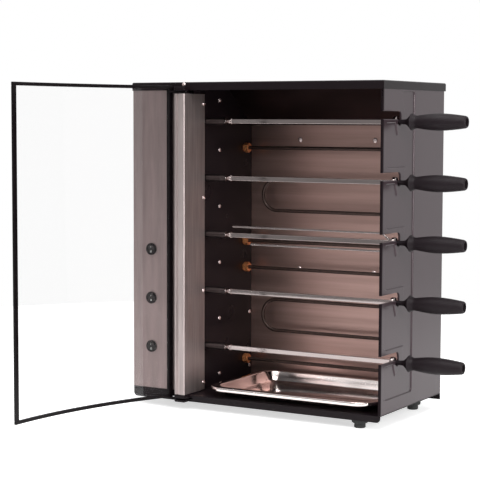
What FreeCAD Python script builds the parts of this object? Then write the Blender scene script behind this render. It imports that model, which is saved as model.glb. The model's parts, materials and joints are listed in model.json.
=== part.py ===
"""Electric skewer grill: a countertop cabinet with a gear driven row of skewers.

Frame: millimetres, +Z up, +X to the handle side, -Y to the front. The origin is
the centre of the plane that the feet stand on.
"""

import FreeCAD, Part
import math
import os
import Sketcher
from FreeCAD import Placement, Rotation, Vector

SIZES = {
    # Cabinet shell
    "cabinet_width": 584.0,
    "cabinet_depth": 300.0,
    "sheet": 1.2,
    "floor_top": 31.5,
    "base_bottom": 18.0,
    "base_corner": 9.0,
    "column_foot": 40.0,
    "cover_bottom": 672.0,
    "cover_height": 17.0,
    "cover_gap": 0.3,
    "cover_overhang": 5.0,
    "cover_corner": 3.0,
    "column_width": 111.0,
    "wall_inset": 128.0,
    "wall_front": 50.0,
    "reflector_gap": 17.0,
    "reflector_side_gap": 3.5,
    "hood_front": 170.0,
    "hood_drop": 72.0,
    # Corner post
    "post_width": 28.0,
    "post_proud": 17.0,
    "post_corner": 8.0,
    "post_leg": 10.0,
    "post_side": 65.0,
    "post_joggle": 2.0,
    "post_flange": 17.5,
    "post_foot": 2.5,
    "post_head": 7.0,
    "groove_start": 9.0,
    "groove_width": 4.5,
    "groove_depth": 2.0,
    # Handle side panel
    "front_hem": 5.5,
    "slot_above": 21.0,
    "slot_lip": 5.5,
    "slot_corner": 9.0,
    "slot_tongue_round": 4.0,
    "slot_rim": 4.0,
    "pocket_radius": 7.0,
    "emboss_depth": 2.0,
    "emboss_rear": 148.0,
    "emboss_strip": 42.0,
    "emboss_teeth": 91.0,
    "emboss_bottom": 60.0,
    "emboss_head": 4.0,
    "emboss_below_slot": 8.0,
    "emboss_above_slot": 10.0,
    "emboss_corner": 6.0,
    "boss_depth": 24.5,
    "boss_front": 19.0,
    "boss_tip": 9.0,
    "boss_rear": 20.0,
    "emboss_slant": 50.0,
    "emboss_slant_run": 19.0,
    # Skewers and their drive
    "skewer_count": 5.0,
    "skewer_first": 128.0,
    "skewer_head": 64.0,
    "skewer_inset": 76.8,
    "run_gap": 0.3,
    "socket_radius": 7.4,
    "socket_length": 55.7,
    "socket_bore": 8.2,
    "socket_bore_depth": 30.0,
    "spindle_radius": 5.0,
    "bearing_gap": 0.05,
    "bush_radius": 6.5,
    "bush_length": 4.0,
    "shank_side": 8.0,
    "shank_length": 28.0,
    "shank_neck_radius": 3.0,
    "shank_neck": 7.0,
    "ring_radius": 6.0,
    "ring_length": 6.0,
    "blade_height": 10.0,
    "blade_thickness": 3.0,
    "collar_radius": 11.0,
    "collar_length": 7.5,
    "collar_gap": 1.5,
    "tang_side": 5.0,
    "tang_end_gap": 37.5,
    "handle_neck_radius": 5.0,
    "handle_neck": 19.5,
    "guard_radius": 17.0,
    "guard_rise": 13.0,
    "guard_fall": 11.0,
    "guard_edge": 2.0,
    "grip_start_radius": 12.5,
    "grip_crown": 16.4,
    "grip_arch": 0.9,
    "grip_peak": 48.0,
    "grip_end_radius": 11.5,
    "grip_length": 104.0,
    "handle_sides": 16.0,
    "prong_spread": 18.0,
    "prong_side": 4.0,
    "prong_upper_start": 2.0,
    "prong_lower_start": 46.0,
    "prong_bridge": 17.0,
    "prong_hub": 6.0,
    "prong_hub_half": 8.0,
    # Gear train
    "gear_teeth": 16.0,
    "pinion_teeth": 10.0,
    "gear_backlash": 1.3,
    "gear_addendum": 0.8,
    "gear_dedendum": 1.25,
    "gear_pressure_angle": 20.0,
    "gear_thickness": 10.0,
    "gear_wall_gap": 24.8,
    "axle_radius": 4.0,
    "gear_plate_gap": 0.5,
    "gear_plate_thickness": 3.0,
    "gear_plate_margin": 26.0,
    "gear_plate_width": 100.0,
    "standoff_half": 4.5,
    "gearbox_radius": 32.0,
    "gearbox_length": 30.0,
    "motor_radius": 24.0,
    "motor_length": 32.0,
    "motor_shaft_depth": 20.0,
    # Heating elements
    "element_radius": 4.0,
    "element_inset": 48.0,
    "element_left": 48.0,
    "element_right": 38.5,
    "element_tail": 30.0,
    "element_head": 122.5,
    "element_foot": 76.0,
    "element_space": 59.5,
    "nut_across": 19.0,
    "nut_length": 12.0,
    "jam_nut_length": 5.0,
    "clip_width": 12.0,
    # Drip tray
    "tray_left": 46.0,
    "tray_right": 20.0,
    "tray_front": 2.0,
    "tray_rear": 28.0,
    "tray_height": 21.5,
    "tray_rim": 17.0,
    "tray_slope": 14.0,
    "tray_corner": 34.0,
    "tray_sheet": 1.2,
    # Door
    "door_hinge_edge": 144.0,
    "door_free_edge": 24.0,
    "door_bow": 25.0,
    "door_stand_off": 28.0,
    "door_drop": 7.2,
    "door_lap": 10.1,
    "door_rail": 7.0,
    "door_stile": 10.0,
    "door_frame_half": 3.0,
    "door_glass_half": 2.0,
    "door_open": 103.5,
    "pivot_x": 130.0,
    "pivot_y": 4.0,
    "pin_radius": 3.0,
    "pin_gap": 0.06,
    "arm_thickness": 3.4,
    "arm_eye": 6.0,
    "jaw_gap": 0.3,
    "jaw_plate": 2.0,
    "jaw_depth": 34.0,
    "cap_rise": 7.0,
    # Switches
    "switch_inset": 46.0,
    "switch_top": 337.0,
    "switch_pitch": 104.0,
    "bezel_radius": 12.75,
    "bezel_proud": 2.5,
    "switch_barrel": 11.4,
    "switch_depth": 26.0,
    "rocker_radius": 9.7,
    "rocker_gap": 0.5,
    "rocker_depth": 4.0,
    "rocker_front": 1.3,
    "rocker_slope": 1.2,
    "rocker_tilt": 7.0,
    "rocker_pin": 1.0,
    "rocker_pivot": 1.2,
    # Feet, inlet and fasteners
    "foot_radius": 12.0,
    "foot_top_radius": 17.0,
    "foot_tread": 10.0,
    "foot_side": 56.0,
    "foot_front": 25.0,
    "foot_column_front": 95.0,
    "foot_rear": 44.0,
    "gland_radius": 9.0,
    "gland_bore": 4.0,
    "gland_proud": 4.5,
    "gland_height": 75.0,
    "gland_inset": 52.0,
    "screw_radius": 4.5,
    "screw_height": 2.2,
    "wall_screw_inset": 143.5,
    "wall_screw_first": 56.5,
    "wall_screw_pitch": 122.5,
    "wall_screw_head": 18.5,
    "rear_screw_inset": 275.0,
    "rear_screw_lower": 282.0,
    "rear_screw_rise": 286.0,
    "rear_screw_left": 123.0,
    "rear_screw_pitch": 182.0,
    "post_screw_foot": 15.5,
    "post_screw_head": 20.3,
    "louvre_length": 60.0,
    "louvre_width": 5.0,
    "louvre_pitch": 16.0,
    "louvre_upper": 430.0,
    "louvre_lower": 64.0,
    "louvre_rear_upper": 544.0,
    "louvre_rear_lower": 192.0,
}

doc = FreeCAD.newDocument("SkewerGrill")
sheet = doc.addObject("Spreadsheet::Sheet", "Sizes")
for row, (alias, number) in enumerate(SIZES.items(), start=1):
    sheet.set("A%d" % row, alias)
    sheet.set("B%d" % row, str(number))
    sheet.setAlias("B%d" % row, alias)
doc.recompute()


class Size:
    """A length that carries its number and its formula in the sheet."""

    def __init__(self, number, formula):
        self.number = float(number)
        self.formula = formula

    def join(self, sign, other, number, swapped=False):
        terms = [self.formula, formula_of(other)]
        if swapped:
            terms.reverse()
        return Size(number, "(%s %s %s)" % (terms[0], sign, terms[1]))

    def __add__(self, other):
        return self.join("+", other, self.number + float(other))

    def __radd__(self, other):
        return self.join("+", other, self.number + float(other), True)

    def __sub__(self, other):
        return self.join("-", other, self.number - float(other))

    def __rsub__(self, other):
        return self.join("-", other, float(other) - self.number, True)

    def __mul__(self, other):
        return self.join("*", other, self.number * float(other))

    def __rmul__(self, other):
        return self.join("*", other, self.number * float(other), True)

    def __truediv__(self, other):
        return self.join("/", other, self.number / float(other))

    def __neg__(self):
        return Size(-self.number, "(-1 * %s)" % self.formula)

    def __float__(self):
        return self.number


def formula_of(value):
    return value.formula if isinstance(value, Size) else "(%.9f)" % float(value)


def root(value):
    return Size(math.sqrt(float(value)), "sqrt(%s)" % value.formula)


class Dimensions:
    """Each size of the sheet by its name."""

    def __init__(self, sizes):
        for alias, number in sizes.items():
            setattr(self, alias, Size(number, "Sizes." + alias))


d = Dimensions(SIZES)
NODES = []
UP = Vector(0, 0, 1)
ELEMENT_SIDES = 6
ALONG = {"X": Rotation(Vector(0, 1, 0), 90), "Y": Rotation(Vector(1, 0, 0), -90), "Z": Rotation()}


# ---------------------------------------------------------------- building blocks
def bind(piece, name, value):
    """Give one property of a piece a number or a formula of the sheet."""
    if isinstance(value, Size):
        piece.setExpression(name, value.formula)
    else:
        setattr(piece, name, float(value))


def place(piece, point, rotation=None):
    piece.Placement = Placement(Vector(*[float(v) for v in point]), rotation or Rotation())
    for axis, value in zip("xyz", point):
        if isinstance(value, Size):
            piece.setExpression("Placement.Base." + axis, value.formula)


def node(label, piece):
    piece.Label = label
    NODES.append(piece)
    return piece


def box(name, low, high):
    piece = doc.addObject("Part::Box", name)
    for side, start, end in zip(("Length", "Width", "Height"), low, high):
        bind(piece, side, end - start)
    place(piece, low)
    return piece


def rod(name, start, length, radius, axis="X"):
    piece = doc.addObject("Part::Cylinder", name)
    bind(piece, "Radius", radius)
    bind(piece, "Height", length)
    place(piece, start, ALONG[axis])
    return piece


def prism(name, start, length, radius, sides, axis="X"):
    """A rod with flat sides; the radius is to its corners."""
    piece = doc.addObject("Part::Prism", name)
    piece.Polygon = sides
    bind(piece, "Circumradius", radius)
    bind(piece, "Height", length)
    place(piece, start, ALONG[axis])
    return piece


def fuse(name, *parts):
    piece = doc.addObject("Part::MultiFuse", name)
    piece.Shapes = list(parts)
    return piece


def group(name, *parts):
    piece = doc.addObject("Part::Compound", name)
    piece.Links = list(parts)
    return piece


def cut(name, base, *tools):
    piece = doc.addObject("Part::Cut", name)
    piece.Base = base
    piece.Tool = tools[0] if len(tools) == 1 else fuse(name + "_tools", *tools)
    return piece


def common(name, first, second):
    piece = doc.addObject("Part::MultiCommon", name)
    piece.Shapes = [first, second]
    return piece


def body(label):
    piece = doc.addObject("PartDesign::Body", label)
    if hasattr(piece, "AllowCompound"):
        piece.AllowCompound = True
    return node(label, piece)


def origin_feature(piece, role):
    return next(feature for feature in piece.Origin.OriginFeatures if feature.Role == role)


def sketch(piece, plane, offset=0.0):
    """A sketch on an origin plane. XY draws X,Y; XZ draws X,Z and faces -Y; YZ draws Y,Z."""
    drawing = piece.newObject("Sketcher::SketchObject", "Sketch")
    drawing.AttachmentSupport = [(origin_feature(piece, plane + "_Plane"), "")]
    drawing.MapMode = "FlatFace"
    if isinstance(offset, Size):
        drawing.setExpression("AttachmentOffset.Base.z", offset.formula)
    else:
        drawing.AttachmentOffset = Placement(Vector(0, 0, offset), Rotation())
    return drawing


class Bend:
    """The edge between two corners is an arc; a positive radius has its centre on the left."""

    def __init__(self, radius):
        self.radius = radius


def constrain(drawing, kind, first, where, value):
    index = drawing.addConstraint(Sketcher.Constraint(kind, -1, 1, first, where, float(value)))
    if isinstance(value, Size):
        drawing.setExpression("Constraints[%d]" % index, value.formula)


def constrain_radius(drawing, edge, radius):
    index = drawing.addConstraint(Sketcher.Constraint("Radius", edge, float(radius)))
    if isinstance(radius, Size):
        drawing.setExpression("Constraints[%d]" % index, radius.formula)


def flat(point):
    return Vector(float(point[0]), float(point[1]), 0)


def rounded_corner(before, corner, after):
    """The two tangent points of a rounded corner, and the arc's radius with its sign."""
    radius = corner[2]
    back = (flat(before) - flat(corner)).normalize()
    ahead = (flat(after) - flat(corner)).normalize()
    turn = math.pi - back.getAngle(ahead)
    reach = math.tan(turn / 2)
    side = 1 if back.cross(ahead).z < 0 else -1
    start = tuple(corner[i] + radius * (reach * back[i]) for i in range(2))
    end = tuple(corner[i] + radius * (reach * ahead[i]) for i in range(2))
    return start, end, (radius, side)


def outline(drawing, path):
    """Draw one closed loop. A corner with a third number is rounded by that radius."""
    corners = [item for item in path if not isinstance(item, Bend)]
    edges = []
    passed = 0
    for index, item in enumerate(path):
        if isinstance(item, Bend):
            continue
        before = corners[passed - 1]
        after = corners[(passed + 1) % len(corners)]
        passed += 1
        follower = path[(index + 1) % len(path)]
        bend = None
        if isinstance(follower, Bend):
            bend = (follower.radius, 1 if float(follower.radius) > 0 else -1)
        if len(item) == 3:
            start, end, arc = rounded_corner(before, item, after)
            edges += [(start, arc), (end, bend)]
        else:
            edges.append((item, bend))
    draw_path(drawing, edges)


def arc_between(first, last, radius, side):
    """The shorter arc between two points, with its centre on the left for a side of 1."""
    chord = last - first
    rise = math.sqrt(max(radius * radius - chord.Length * chord.Length / 4, 0))
    centre = (first + last) * 0.5 + UP.cross(chord).normalize() * (rise * side)
    angles = [math.atan2(point.y - centre.y, point.x - centre.x) for point in (first, last)]
    if side < 0:
        angles.reverse()
    if angles[1] < angles[0]:
        angles[1] += 2 * math.pi
    return Part.ArcOfCircle(Part.Circle(centre, UP, radius), angles[0], angles[1]), rise


def draw_path(drawing, knots, closed=True):
    """Draw edges from their start points; a knot is a point and the arc that leaves it, or None."""
    count = len(knots) if closed else len(knots) - 1
    ends = []
    for index in range(count):
        start, arc = knots[index]
        first, last = flat(start), flat(knots[(index + 1) % len(knots)][0])
        if arc is None:
            edge = drawing.addGeometry(Part.LineSegment(first, last), False)
            ends.append((edge, 1, 2))
        else:
            radius, side = abs(float(arc[0])), arc[1]
            curve, rise = arc_between(first, last, radius, side)
            edge = drawing.addGeometry(curve, False)
            ends.append((edge, 1, 2) if side > 0 else (edge, 2, 1))
            if rise > 1e-4 * radius:
                constrain_radius(drawing, edge, arc[0] if float(arc[0]) > 0 else -arc[0])
            elif abs(last.x - first.x) < abs(last.y - first.y):
                constrain(drawing, "DistanceX", edge, 3, start[0])
            else:
                constrain(drawing, "DistanceY", edge, 3, start[1])
        constrain(drawing, "DistanceX", edge, ends[-1][1], start[0])
        constrain(drawing, "DistanceY", edge, ends[-1][1], start[1])
    for index in range(count if closed else count - 1):
        edge, _, last = ends[index]
        follower, first, _ = ends[(index + 1) % count]
        drawing.addConstraint(Sketcher.Constraint("Coincident", edge, last, follower, first))
    if not closed:
        edge, _, last = ends[-1]
        constrain(drawing, "DistanceX", edge, last, knots[-1][0][0])
        constrain(drawing, "DistanceY", edge, last, knots[-1][0][1])


def rectangle(drawing, low, high):
    outline(drawing, [(low[0], low[1]), (high[0], low[1]), (high[0], high[1]), (low[0], high[1])])


def circle(drawing, u, v, radius):
    edge = drawing.addGeometry(Part.Circle(flat((u, v)), UP, float(radius)), False)
    constrain(drawing, "DistanceX", edge, 3, u)
    constrain(drawing, "DistanceY", edge, 3, v)
    constrain_radius(drawing, edge, radius)


def polygon(drawing, u, v, radius, sides):
    """A regular loop with one corner straight above the centre; the radius is to the corners."""
    corners = []
    for row in range(sides):
        angle = math.pi / 2 + 2 * math.pi * row / sides
        corners.append((u + radius * math.cos(angle), v + radius * math.sin(angle)))
    outline(drawing, corners)


def pad(piece, drawing, length, reverse=False):
    feature = piece.newObject("PartDesign::Pad", "Pad")
    feature.Profile = drawing
    bind(feature, "Length", length)
    feature.Reversed = reverse
    return feature


def pocket(piece, drawing, depth=None, reverse=False):
    """Cut to a depth, or right through both ways when there is none."""
    feature = piece.newObject("PartDesign::Pocket", "Pocket")
    feature.Profile = drawing
    feature.Reversed = reverse
    if depth is None:
        feature.Type = "ThroughAll"
        feature.Midplane = True
    else:
        bind(feature, "Length", depth)
    return feature


def repeat(piece, features, axis, step, count):
    pattern = piece.newObject("PartDesign::LinearPattern", "Row")
    pattern.Originals = features
    pattern.Direction = (origin_feature(piece, axis + "_Axis"), [""])
    bind(pattern, "Length", step * (count - 1))
    pattern.Occurrences = count
    piece.Tip = pattern
    return pattern


def disc(piece, start, length, radius, reverse=False):
    """A round pad along X about the body's own axis."""
    drawing = sketch(piece, "YZ", start)
    circle(drawing, 0, 0, radius)
    return pad(piece, drawing, length, reverse)


def flatted(piece, start, length, radius, sides):
    """A pad with flat sides along X about the body's own axis."""
    drawing = sketch(piece, "YZ", start)
    polygon(drawing, 0, 0, radius, sides)
    return pad(piece, drawing, length)


# ---------------------------------------------------------------- derived places
right = d.cabinet_width / 2
left = -right
front = -(d.cabinet_depth / 2)
back = -front
floor = d.floor_top
cover_top = d.cover_bottom + d.cover_height
cover_under = cover_top - d.sheet
column_right = left + d.column_width
wall = left + d.wall_inset
post_left = column_right
post_right = post_left + d.post_width
post_front = front - d.post_proud
skewer_y = front + d.skewer_inset
skewer_count = int(SIZES["skewer_count"])
skewer_pitch = (d.cover_bottom - d.skewer_head - d.skewer_first) / (skewer_count - 1)
skewer_z = [d.skewer_first + skewer_pitch * k for k in range(skewer_count)]
post_bottom = floor + d.post_foot
post_top = d.cover_bottom - d.post_head
door_chord = d.cabinet_width - d.door_hinge_edge - d.door_free_edge
door_bottom = floor - d.door_drop
door_height = d.cover_bottom + d.door_lap - door_bottom
reflector = back - d.reflector_gap
reflector_right = right - d.reflector_side_gap
element_y = back - d.element_inset
module = skewer_pitch / 2 / d.gear_teeth
gear_radius = module * d.gear_teeth / 2
pinion_radius = module * d.pinion_teeth / 2
gear_end = wall - d.gear_wall_gap
gear_start = gear_end - d.gear_thickness
plate_end = gear_start - d.gear_plate_gap
plate_start = plate_end - d.gear_plate_thickness
pinion_y = skewer_y + gear_radius + pinion_radius
driven = skewer_count // 2
pinion_z = skewer_z[driven]
ring_start = wall + d.run_gap + d.socket_length + d.shank_neck
blade_start = ring_start + d.ring_length
collar_end = right - d.slot_rim - d.collar_gap
collar_start = collar_end - d.collar_length
tang_length = d.handle_neck + d.guard_rise + d.guard_fall + d.grip_length - d.tang_end_gap
pivot_x = left + d.pivot_x
pivot_y = front + d.pivot_y
door_left = left + d.door_hinge_edge
door_right = door_left + door_chord
door_y = pivot_y - d.door_stand_off
jaw_height = d.arm_thickness + d.jaw_gap + d.jaw_gap
upper_jaw = post_top + d.jaw_plate
lower_jaw = d.base_bottom + d.jaw_plate * 2
arm_sweep = d.arm_eye * 3
jaw_web = d.arm_eye


# ---------------------------------------------------------------- cabinet shell
def make_base_pan():
    """Floor plate with a rounded front lip, raised below the column, and a rear lip."""
    pan = body("base_pan")
    lip = sketch(pan, "XZ", -(front + d.sheet))
    outline(lip, [
        (left, d.base_bottom, d.base_corner), (post_left, d.base_bottom),
        (post_left, d.column_foot), (left, d.column_foot),
    ])
    outline(lip, [
        (post_right, d.base_bottom), (right, d.base_bottom, d.base_corner),
        (right, floor), (post_right, floor),
    ])
    pad(pan, lip, d.sheet)
    plate = sketch(pan, "XY", floor - d.sheet)
    rectangle(plate, (left, front + d.sheet), (right, back))
    pad(pan, plate, d.sheet)
    rear = sketch(pan, "XZ", -back)
    rectangle(rear, (left, d.base_bottom), (right, floor))
    pad(pan, rear, d.sheet)
    hinge_notch = sketch(pan, "XY", floor)
    rectangle(hinge_notch, (post_left, front), (post_right, post_front + d.jaw_depth + jaw_web))
    pocket(pan, hinge_notch, d.sheet)
    arm_notch = sketch(pan, "XZ", -front)
    rectangle(arm_notch, (post_left - arm_sweep, lower_jaw - d.jaw_gap),
              (post_right + arm_sweep / 2, lower_jaw + jaw_height + d.jaw_gap))
    pocket(pan, arm_notch, d.sheet)


def comb_outline(grow):
    """The embossed comb of the side panel: a rear strip with a tooth between the slots."""
    strip_rear = front + d.emboss_rear + grow
    strip_front = front + d.emboss_rear - d.emboss_strip - grow
    tooth_front = strip_front - d.emboss_teeth
    corner = d.emboss_corner
    path = [(strip_rear, d.emboss_bottom - grow, corner)]
    bottom = d.emboss_bottom - grow
    for axis_z in skewer_z:
        top = axis_z + d.slot_lip - d.emboss_below_slot + grow
        path += [
            (tooth_front, bottom, corner + corner),
            (tooth_front, top, corner),
            (skewer_y - d.boss_front, top),
            (skewer_y - d.boss_tip, top - d.boss_depth),
            (skewer_y + d.boss_rear, top),
            (strip_front, top),
        ]
        bottom = axis_z + d.slot_above + d.emboss_above_slot - grow
        if axis_z is not skewer_z[-1]:
            path += [(strip_front, bottom)]
    top = d.cover_bottom - d.emboss_head + grow
    path += [
        (strip_front, top - d.emboss_slant),
        (strip_front - d.emboss_slant_run, top, corner),
        (strip_rear, top, corner),
    ]
    return path


def slot_outline(axis_z, grow):
    """One skewer slot, open at the front edge, dropping into a round pocket."""
    rear = skewer_y + d.pocket_radius + grow
    pocket_front = skewer_y - d.pocket_radius - grow
    top = axis_z + d.slot_above + grow
    lip = axis_z + d.slot_lip - grow
    tongue_round = d.slot_tongue_round - grow
    return [
        (front, lip), (pocket_front, lip, tongue_round), (pocket_front, axis_z),
        Bend(d.pocket_radius + grow), (rear, axis_z), (rear, top, d.slot_corner + grow), (front, top),
    ]


def make_right_side_panel():
    """Stamped side panel: comb embossed inwards, five flanged slots, a front hem."""
    panel = body("right_side_panel")
    thick = d.sheet + d.emboss_depth
    blank = sketch(panel, "YZ", right - thick)
    rectangle(blank, (front, floor), (back, cover_under))
    pad(panel, blank, thick)
    comb = sketch(panel, "YZ", right)
    outline(comb, comb_outline(0))
    pocket(panel, comb, d.emboss_depth)
    behind = sketch(panel, "YZ", right - thick)
    rectangle(behind, (front, floor), (back, cover_under))
    outline(behind, comb_outline(d.sheet))
    pocket(panel, behind, d.emboss_depth, reverse=True)
    hem = sketch(panel, "YZ", right - d.sheet)
    rectangle(hem, (front, floor), (front + d.sheet, d.cover_bottom))
    pad(panel, hem, d.front_hem - d.sheet, reverse=True)
    rim = sketch(panel, "YZ", right - d.sheet)
    outline(rim, slot_outline(skewer_z[0], d.sheet))
    rim_pad = pad(panel, rim, d.slot_rim - d.sheet, reverse=True)
    slot = sketch(panel, "YZ", right)
    outline(slot, slot_outline(skewer_z[0], 0))
    slot_cut = pocket(panel, slot, d.front_hem + d.sheet)
    repeat(panel, [rim_pad, slot_cut], "Z", skewer_pitch, skewer_count)


def louvres(piece, first_u, first_v, plane, offset, rows, depth):
    """A block of long vent slots, cut through a flat panel."""
    drawing = sketch(piece, plane, offset)
    half = d.louvre_length / 2
    for row in range(rows):
        low = first_v + d.louvre_pitch * row
        rectangle(drawing, (first_u - half, low), (first_u + half, low + d.louvre_width))
    pocket(piece, drawing, depth)


def make_left_side_panel():
    """Plain side panel with two blocks of vent slots for the drive."""
    panel = body("left_side_panel")
    blank = sketch(panel, "YZ", left)
    rectangle(blank, (front + d.sheet, floor), (back, cover_under))
    pad(panel, blank, d.sheet)
    louvres(panel, pinion_y, d.louvre_upper, "YZ", left + d.sheet, 6, d.sheet)
    louvres(panel, pinion_y, d.louvre_lower, "YZ", left + d.sheet, 4, d.sheet)


def make_column_front():
    """Stainless control panel with three round switch holes and a folded left edge."""
    panel = body("column_front")
    face = sketch(panel, "XZ", -(front + d.sheet))
    notch = post_top + d.jaw_plate - d.jaw_gap
    outline(face, [
        (left, d.column_foot), (column_right, d.column_foot), (column_right, notch),
        (column_right - arm_sweep, notch), (column_right - arm_sweep, cover_under),
        (left, cover_under),
    ])
    pad(panel, face, d.sheet)
    fold = sketch(panel, "XY", d.column_foot)
    rectangle(fold, (left + d.sheet, front + d.sheet),
              (left + d.sheet + d.sheet, front + d.post_leg))
    pad(panel, fold, cover_under - d.column_foot)
    holes = sketch(panel, "XZ", -front)
    for height in switch_z:
        circle(holes, switch_x, height, d.switch_barrel)
    pocket(panel, holes, d.sheet)


def make_chamber_side_wall():
    """Wall between the column and the chamber, bored for the spindles and the elements."""
    panel = body("chamber_side_wall")
    face = sketch(panel, "YZ", wall - d.sheet)
    rectangle(face, (front + d.wall_front, floor), (reflector, cover_under))
    pad(panel, face, d.sheet)
    holes = sketch(panel, "YZ", wall)
    for height in skewer_z:
        polygon(holes, skewer_y, height, d.bush_radius, 8)
    for height in element_ends:
        polygon(holes, element_y, height, element_corner, ELEMENT_SIDES)
    pocket(panel, holes, d.sheet)


def make_corner_post():
    """Polished folded post with a grooved face, a deep side and a rear screw flange."""
    post = body("corner_post")
    skin = d.sheet
    side_rear = post_front + d.post_side
    joggle_x = post_right - d.post_joggle
    flange_rear = side_rear + d.post_joggle + d.post_flange
    groove_left = post_left + d.groove_start
    groove_right = groove_left + d.groove_width
    groove_bottom = post_front + d.groove_depth
    section = sketch(post, "XY", post_bottom)
    outline(section, [
        (post_left, front + d.post_leg),
        (post_left, post_front, d.post_corner),
        (groove_left, post_front), (groove_left, groove_bottom),
        (groove_right, groove_bottom), (groove_right, post_front),
        (post_right, post_front, skin + skin),
        (post_right, side_rear),
        (joggle_x, side_rear + d.post_joggle),
        (joggle_x, flange_rear),
        (wall, flange_rear),
        (wall, flange_rear - skin),
        (joggle_x - skin, flange_rear - skin),
        (joggle_x - skin, side_rear + d.post_joggle - skin / 2),
        (post_right - skin, side_rear - skin / 2),
        (post_right - skin, post_front + skin, skin),
        (groove_right + skin, post_front + skin), (groove_right + skin, groove_bottom + skin),
        (groove_left - skin, groove_bottom + skin), (groove_left - skin, post_front + skin),
        (post_left + skin, post_front + skin, d.post_corner - skin - skin),
        (post_left + skin, front + d.post_leg),
    ])
    pad(post, section, post_top - post_bottom)


def make_back_reflector():
    """Polished rear wall of the chamber, folded back to the rear cover at both sides."""
    panel = body("back_reflector")
    section = sketch(panel, "XY", floor)
    outline(section, [
        (wall - d.sheet, reflector), (reflector_right, reflector),
        (reflector_right, back - d.sheet), (reflector_right - d.sheet, back - d.sheet),
        (reflector_right - d.sheet, reflector + d.sheet), (wall, reflector + d.sheet),
        (wall, back - d.sheet), (wall - d.sheet, back - d.sheet),
    ])
    pad(panel, section, cover_under - floor)


def make_rear_cover():
    """Rear cover with vent slots and the hole of the cord gland."""
    panel = body("rear_cover")
    face = sketch(panel, "XZ", -back)
    rectangle(face, (left + d.sheet, floor), (right - d.sheet, cover_under))
    pad(panel, face, d.sheet)
    hole = sketch(panel, "XZ", -back)
    circle(hole, left + d.gland_inset, d.gland_height, d.gland_radius - d.sheet)
    pocket(panel, hole, d.sheet, reverse=True)
    vents_x = left + d.gland_inset
    for height in (d.louvre_rear_lower, d.louvre_rear_upper):
        louvres(panel, vents_x, height, "XZ", -(back - d.sheet), 6, d.sheet)
    for column in (-1, 0, 1):
        centre = (wall + reflector_right) / 2 + skewer_pitch * column
        louvres(panel, centre, d.louvre_rear_upper, "XZ", -(back - d.sheet), 5, d.sheet)


def make_hood_deflector():
    """Sloping plate that turns the hot air forward under the cover."""
    plate = body("hood_deflector")
    section = sketch(plate, "YZ", wall)
    hood_y = front + d.hood_front
    outline(section, [
        (hood_y, cover_under), (hood_y, cover_under - d.sheet),
        (reflector - d.sheet, d.cover_bottom - d.hood_drop), (reflector, d.cover_bottom - d.hood_drop),
        (reflector, d.cover_bottom - d.hood_drop + d.sheet), (hood_y + d.sheet, cover_under),
    ])
    pad(plate, section, reflector_right - wall)


def make_top_cover():
    """Shallow lid, open below, with a folded rim all round."""
    lid = body("top_cover")
    reach = d.cover_gap + d.sheet
    low = (left - reach, front - reach)
    high = (right + reach, back + d.cover_overhang)
    blank = sketch(lid, "XY", d.cover_bottom)
    rectangle(blank, low, high)
    block = pad(lid, blank, d.cover_height)
    doc.recompute()
    top = [
        "Edge%d" % (index + 1) for index, edge in enumerate(block.Shape.Edges)
        if edge.BoundBox.ZMin > float(cover_top) - 0.01
    ]
    edge_round = lid.newObject("PartDesign::Fillet", "EdgeRound")
    edge_round.Base = (block, top)
    bind(edge_round, "Radius", d.cover_corner)
    inside = sketch(lid, "XY", d.cover_bottom)
    rectangle(inside, (low[0] + d.sheet, low[1] + d.sheet), (high[0] - d.sheet, high[1] - d.sheet))
    pocket(lid, inside, d.cover_height - d.sheet, reverse=True)


def make_feet():
    """Four rubber feet: a narrow tread below the wide block that meets the floor plate."""
    places = [
        (left + d.foot_side, front + d.foot_column_front), (right - d.foot_side, front + d.foot_front),
        (left + d.foot_rear, back - d.foot_rear), (right - d.foot_rear, back - d.foot_rear),
    ]
    feet = []
    for x, y in places:
        tread = prism("Tread", (x, y, 0.0), d.foot_tread, d.foot_radius, 16, "Z")
        block = prism("FootBlock", (x, y, d.foot_tread), floor - d.sheet - d.foot_tread,
                      d.foot_top_radius, 16, "Z")
        feet.append(fuse("Foot", tread, block))
    node("feet", group("feet", *feet))


# ---------------------------------------------------------------- hinge blocks
def hinge_outline(rear):
    return [
        (post_left, post_front, d.post_corner), (post_right, post_front),
        (post_right, rear), (post_left, rear),
    ]


def cut_jaw(block, start):
    """The slot that the door's arm turns in."""
    slot = sketch(block, "YZ", post_left)
    rectangle(slot, (post_front - d.sheet, start), (post_front + d.jaw_depth, start + jaw_height))
    pocket(block, slot, d.post_width, reverse=True)


def make_upper_hinge_block():
    block = body("upper_hinge_block")
    base = sketch(block, "XY", post_top)
    outline(base, hinge_outline(post_front + d.post_side))
    pad(block, base, d.cover_bottom - post_top)
    cap = sketch(block, "XY", d.cover_bottom)
    outline(cap, hinge_outline(front - d.cover_gap - d.sheet))
    pad(block, cap, d.cap_rise)
    cut_jaw(block, upper_jaw)
    bore = sketch(block, "XY", post_top)
    circle(bore, pivot_x, pivot_y, d.pin_radius + d.pin_gap)
    pocket(block, bore, d.cover_bottom - post_top, reverse=True)


def make_lower_hinge_block():
    block = body("lower_hinge_block")
    base = sketch(block, "XY", d.base_bottom)
    outline(base, hinge_outline(post_front + d.jaw_depth + jaw_web))
    pad(block, base, post_bottom - d.base_bottom)
    shoe = sketch(block, "XY", floor)
    rectangle(shoe, (post_left, post_front + d.jaw_depth + jaw_web),
              (post_right, post_front + d.post_side))
    pad(block, shoe, post_bottom - floor)
    cut_jaw(block, lower_jaw)
    bore = sketch(block, "XY", post_bottom)
    circle(bore, pivot_x, pivot_y, d.pin_radius + d.pin_gap)
    pocket(block, bore, post_bottom - d.base_bottom - d.sheet)


# ---------------------------------------------------------------- switches and inlet
switch_x = left + d.switch_inset
switch_z = [d.switch_top - d.switch_pitch * row for row in range(3)]
rocker_y = front - d.rocker_pivot


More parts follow.
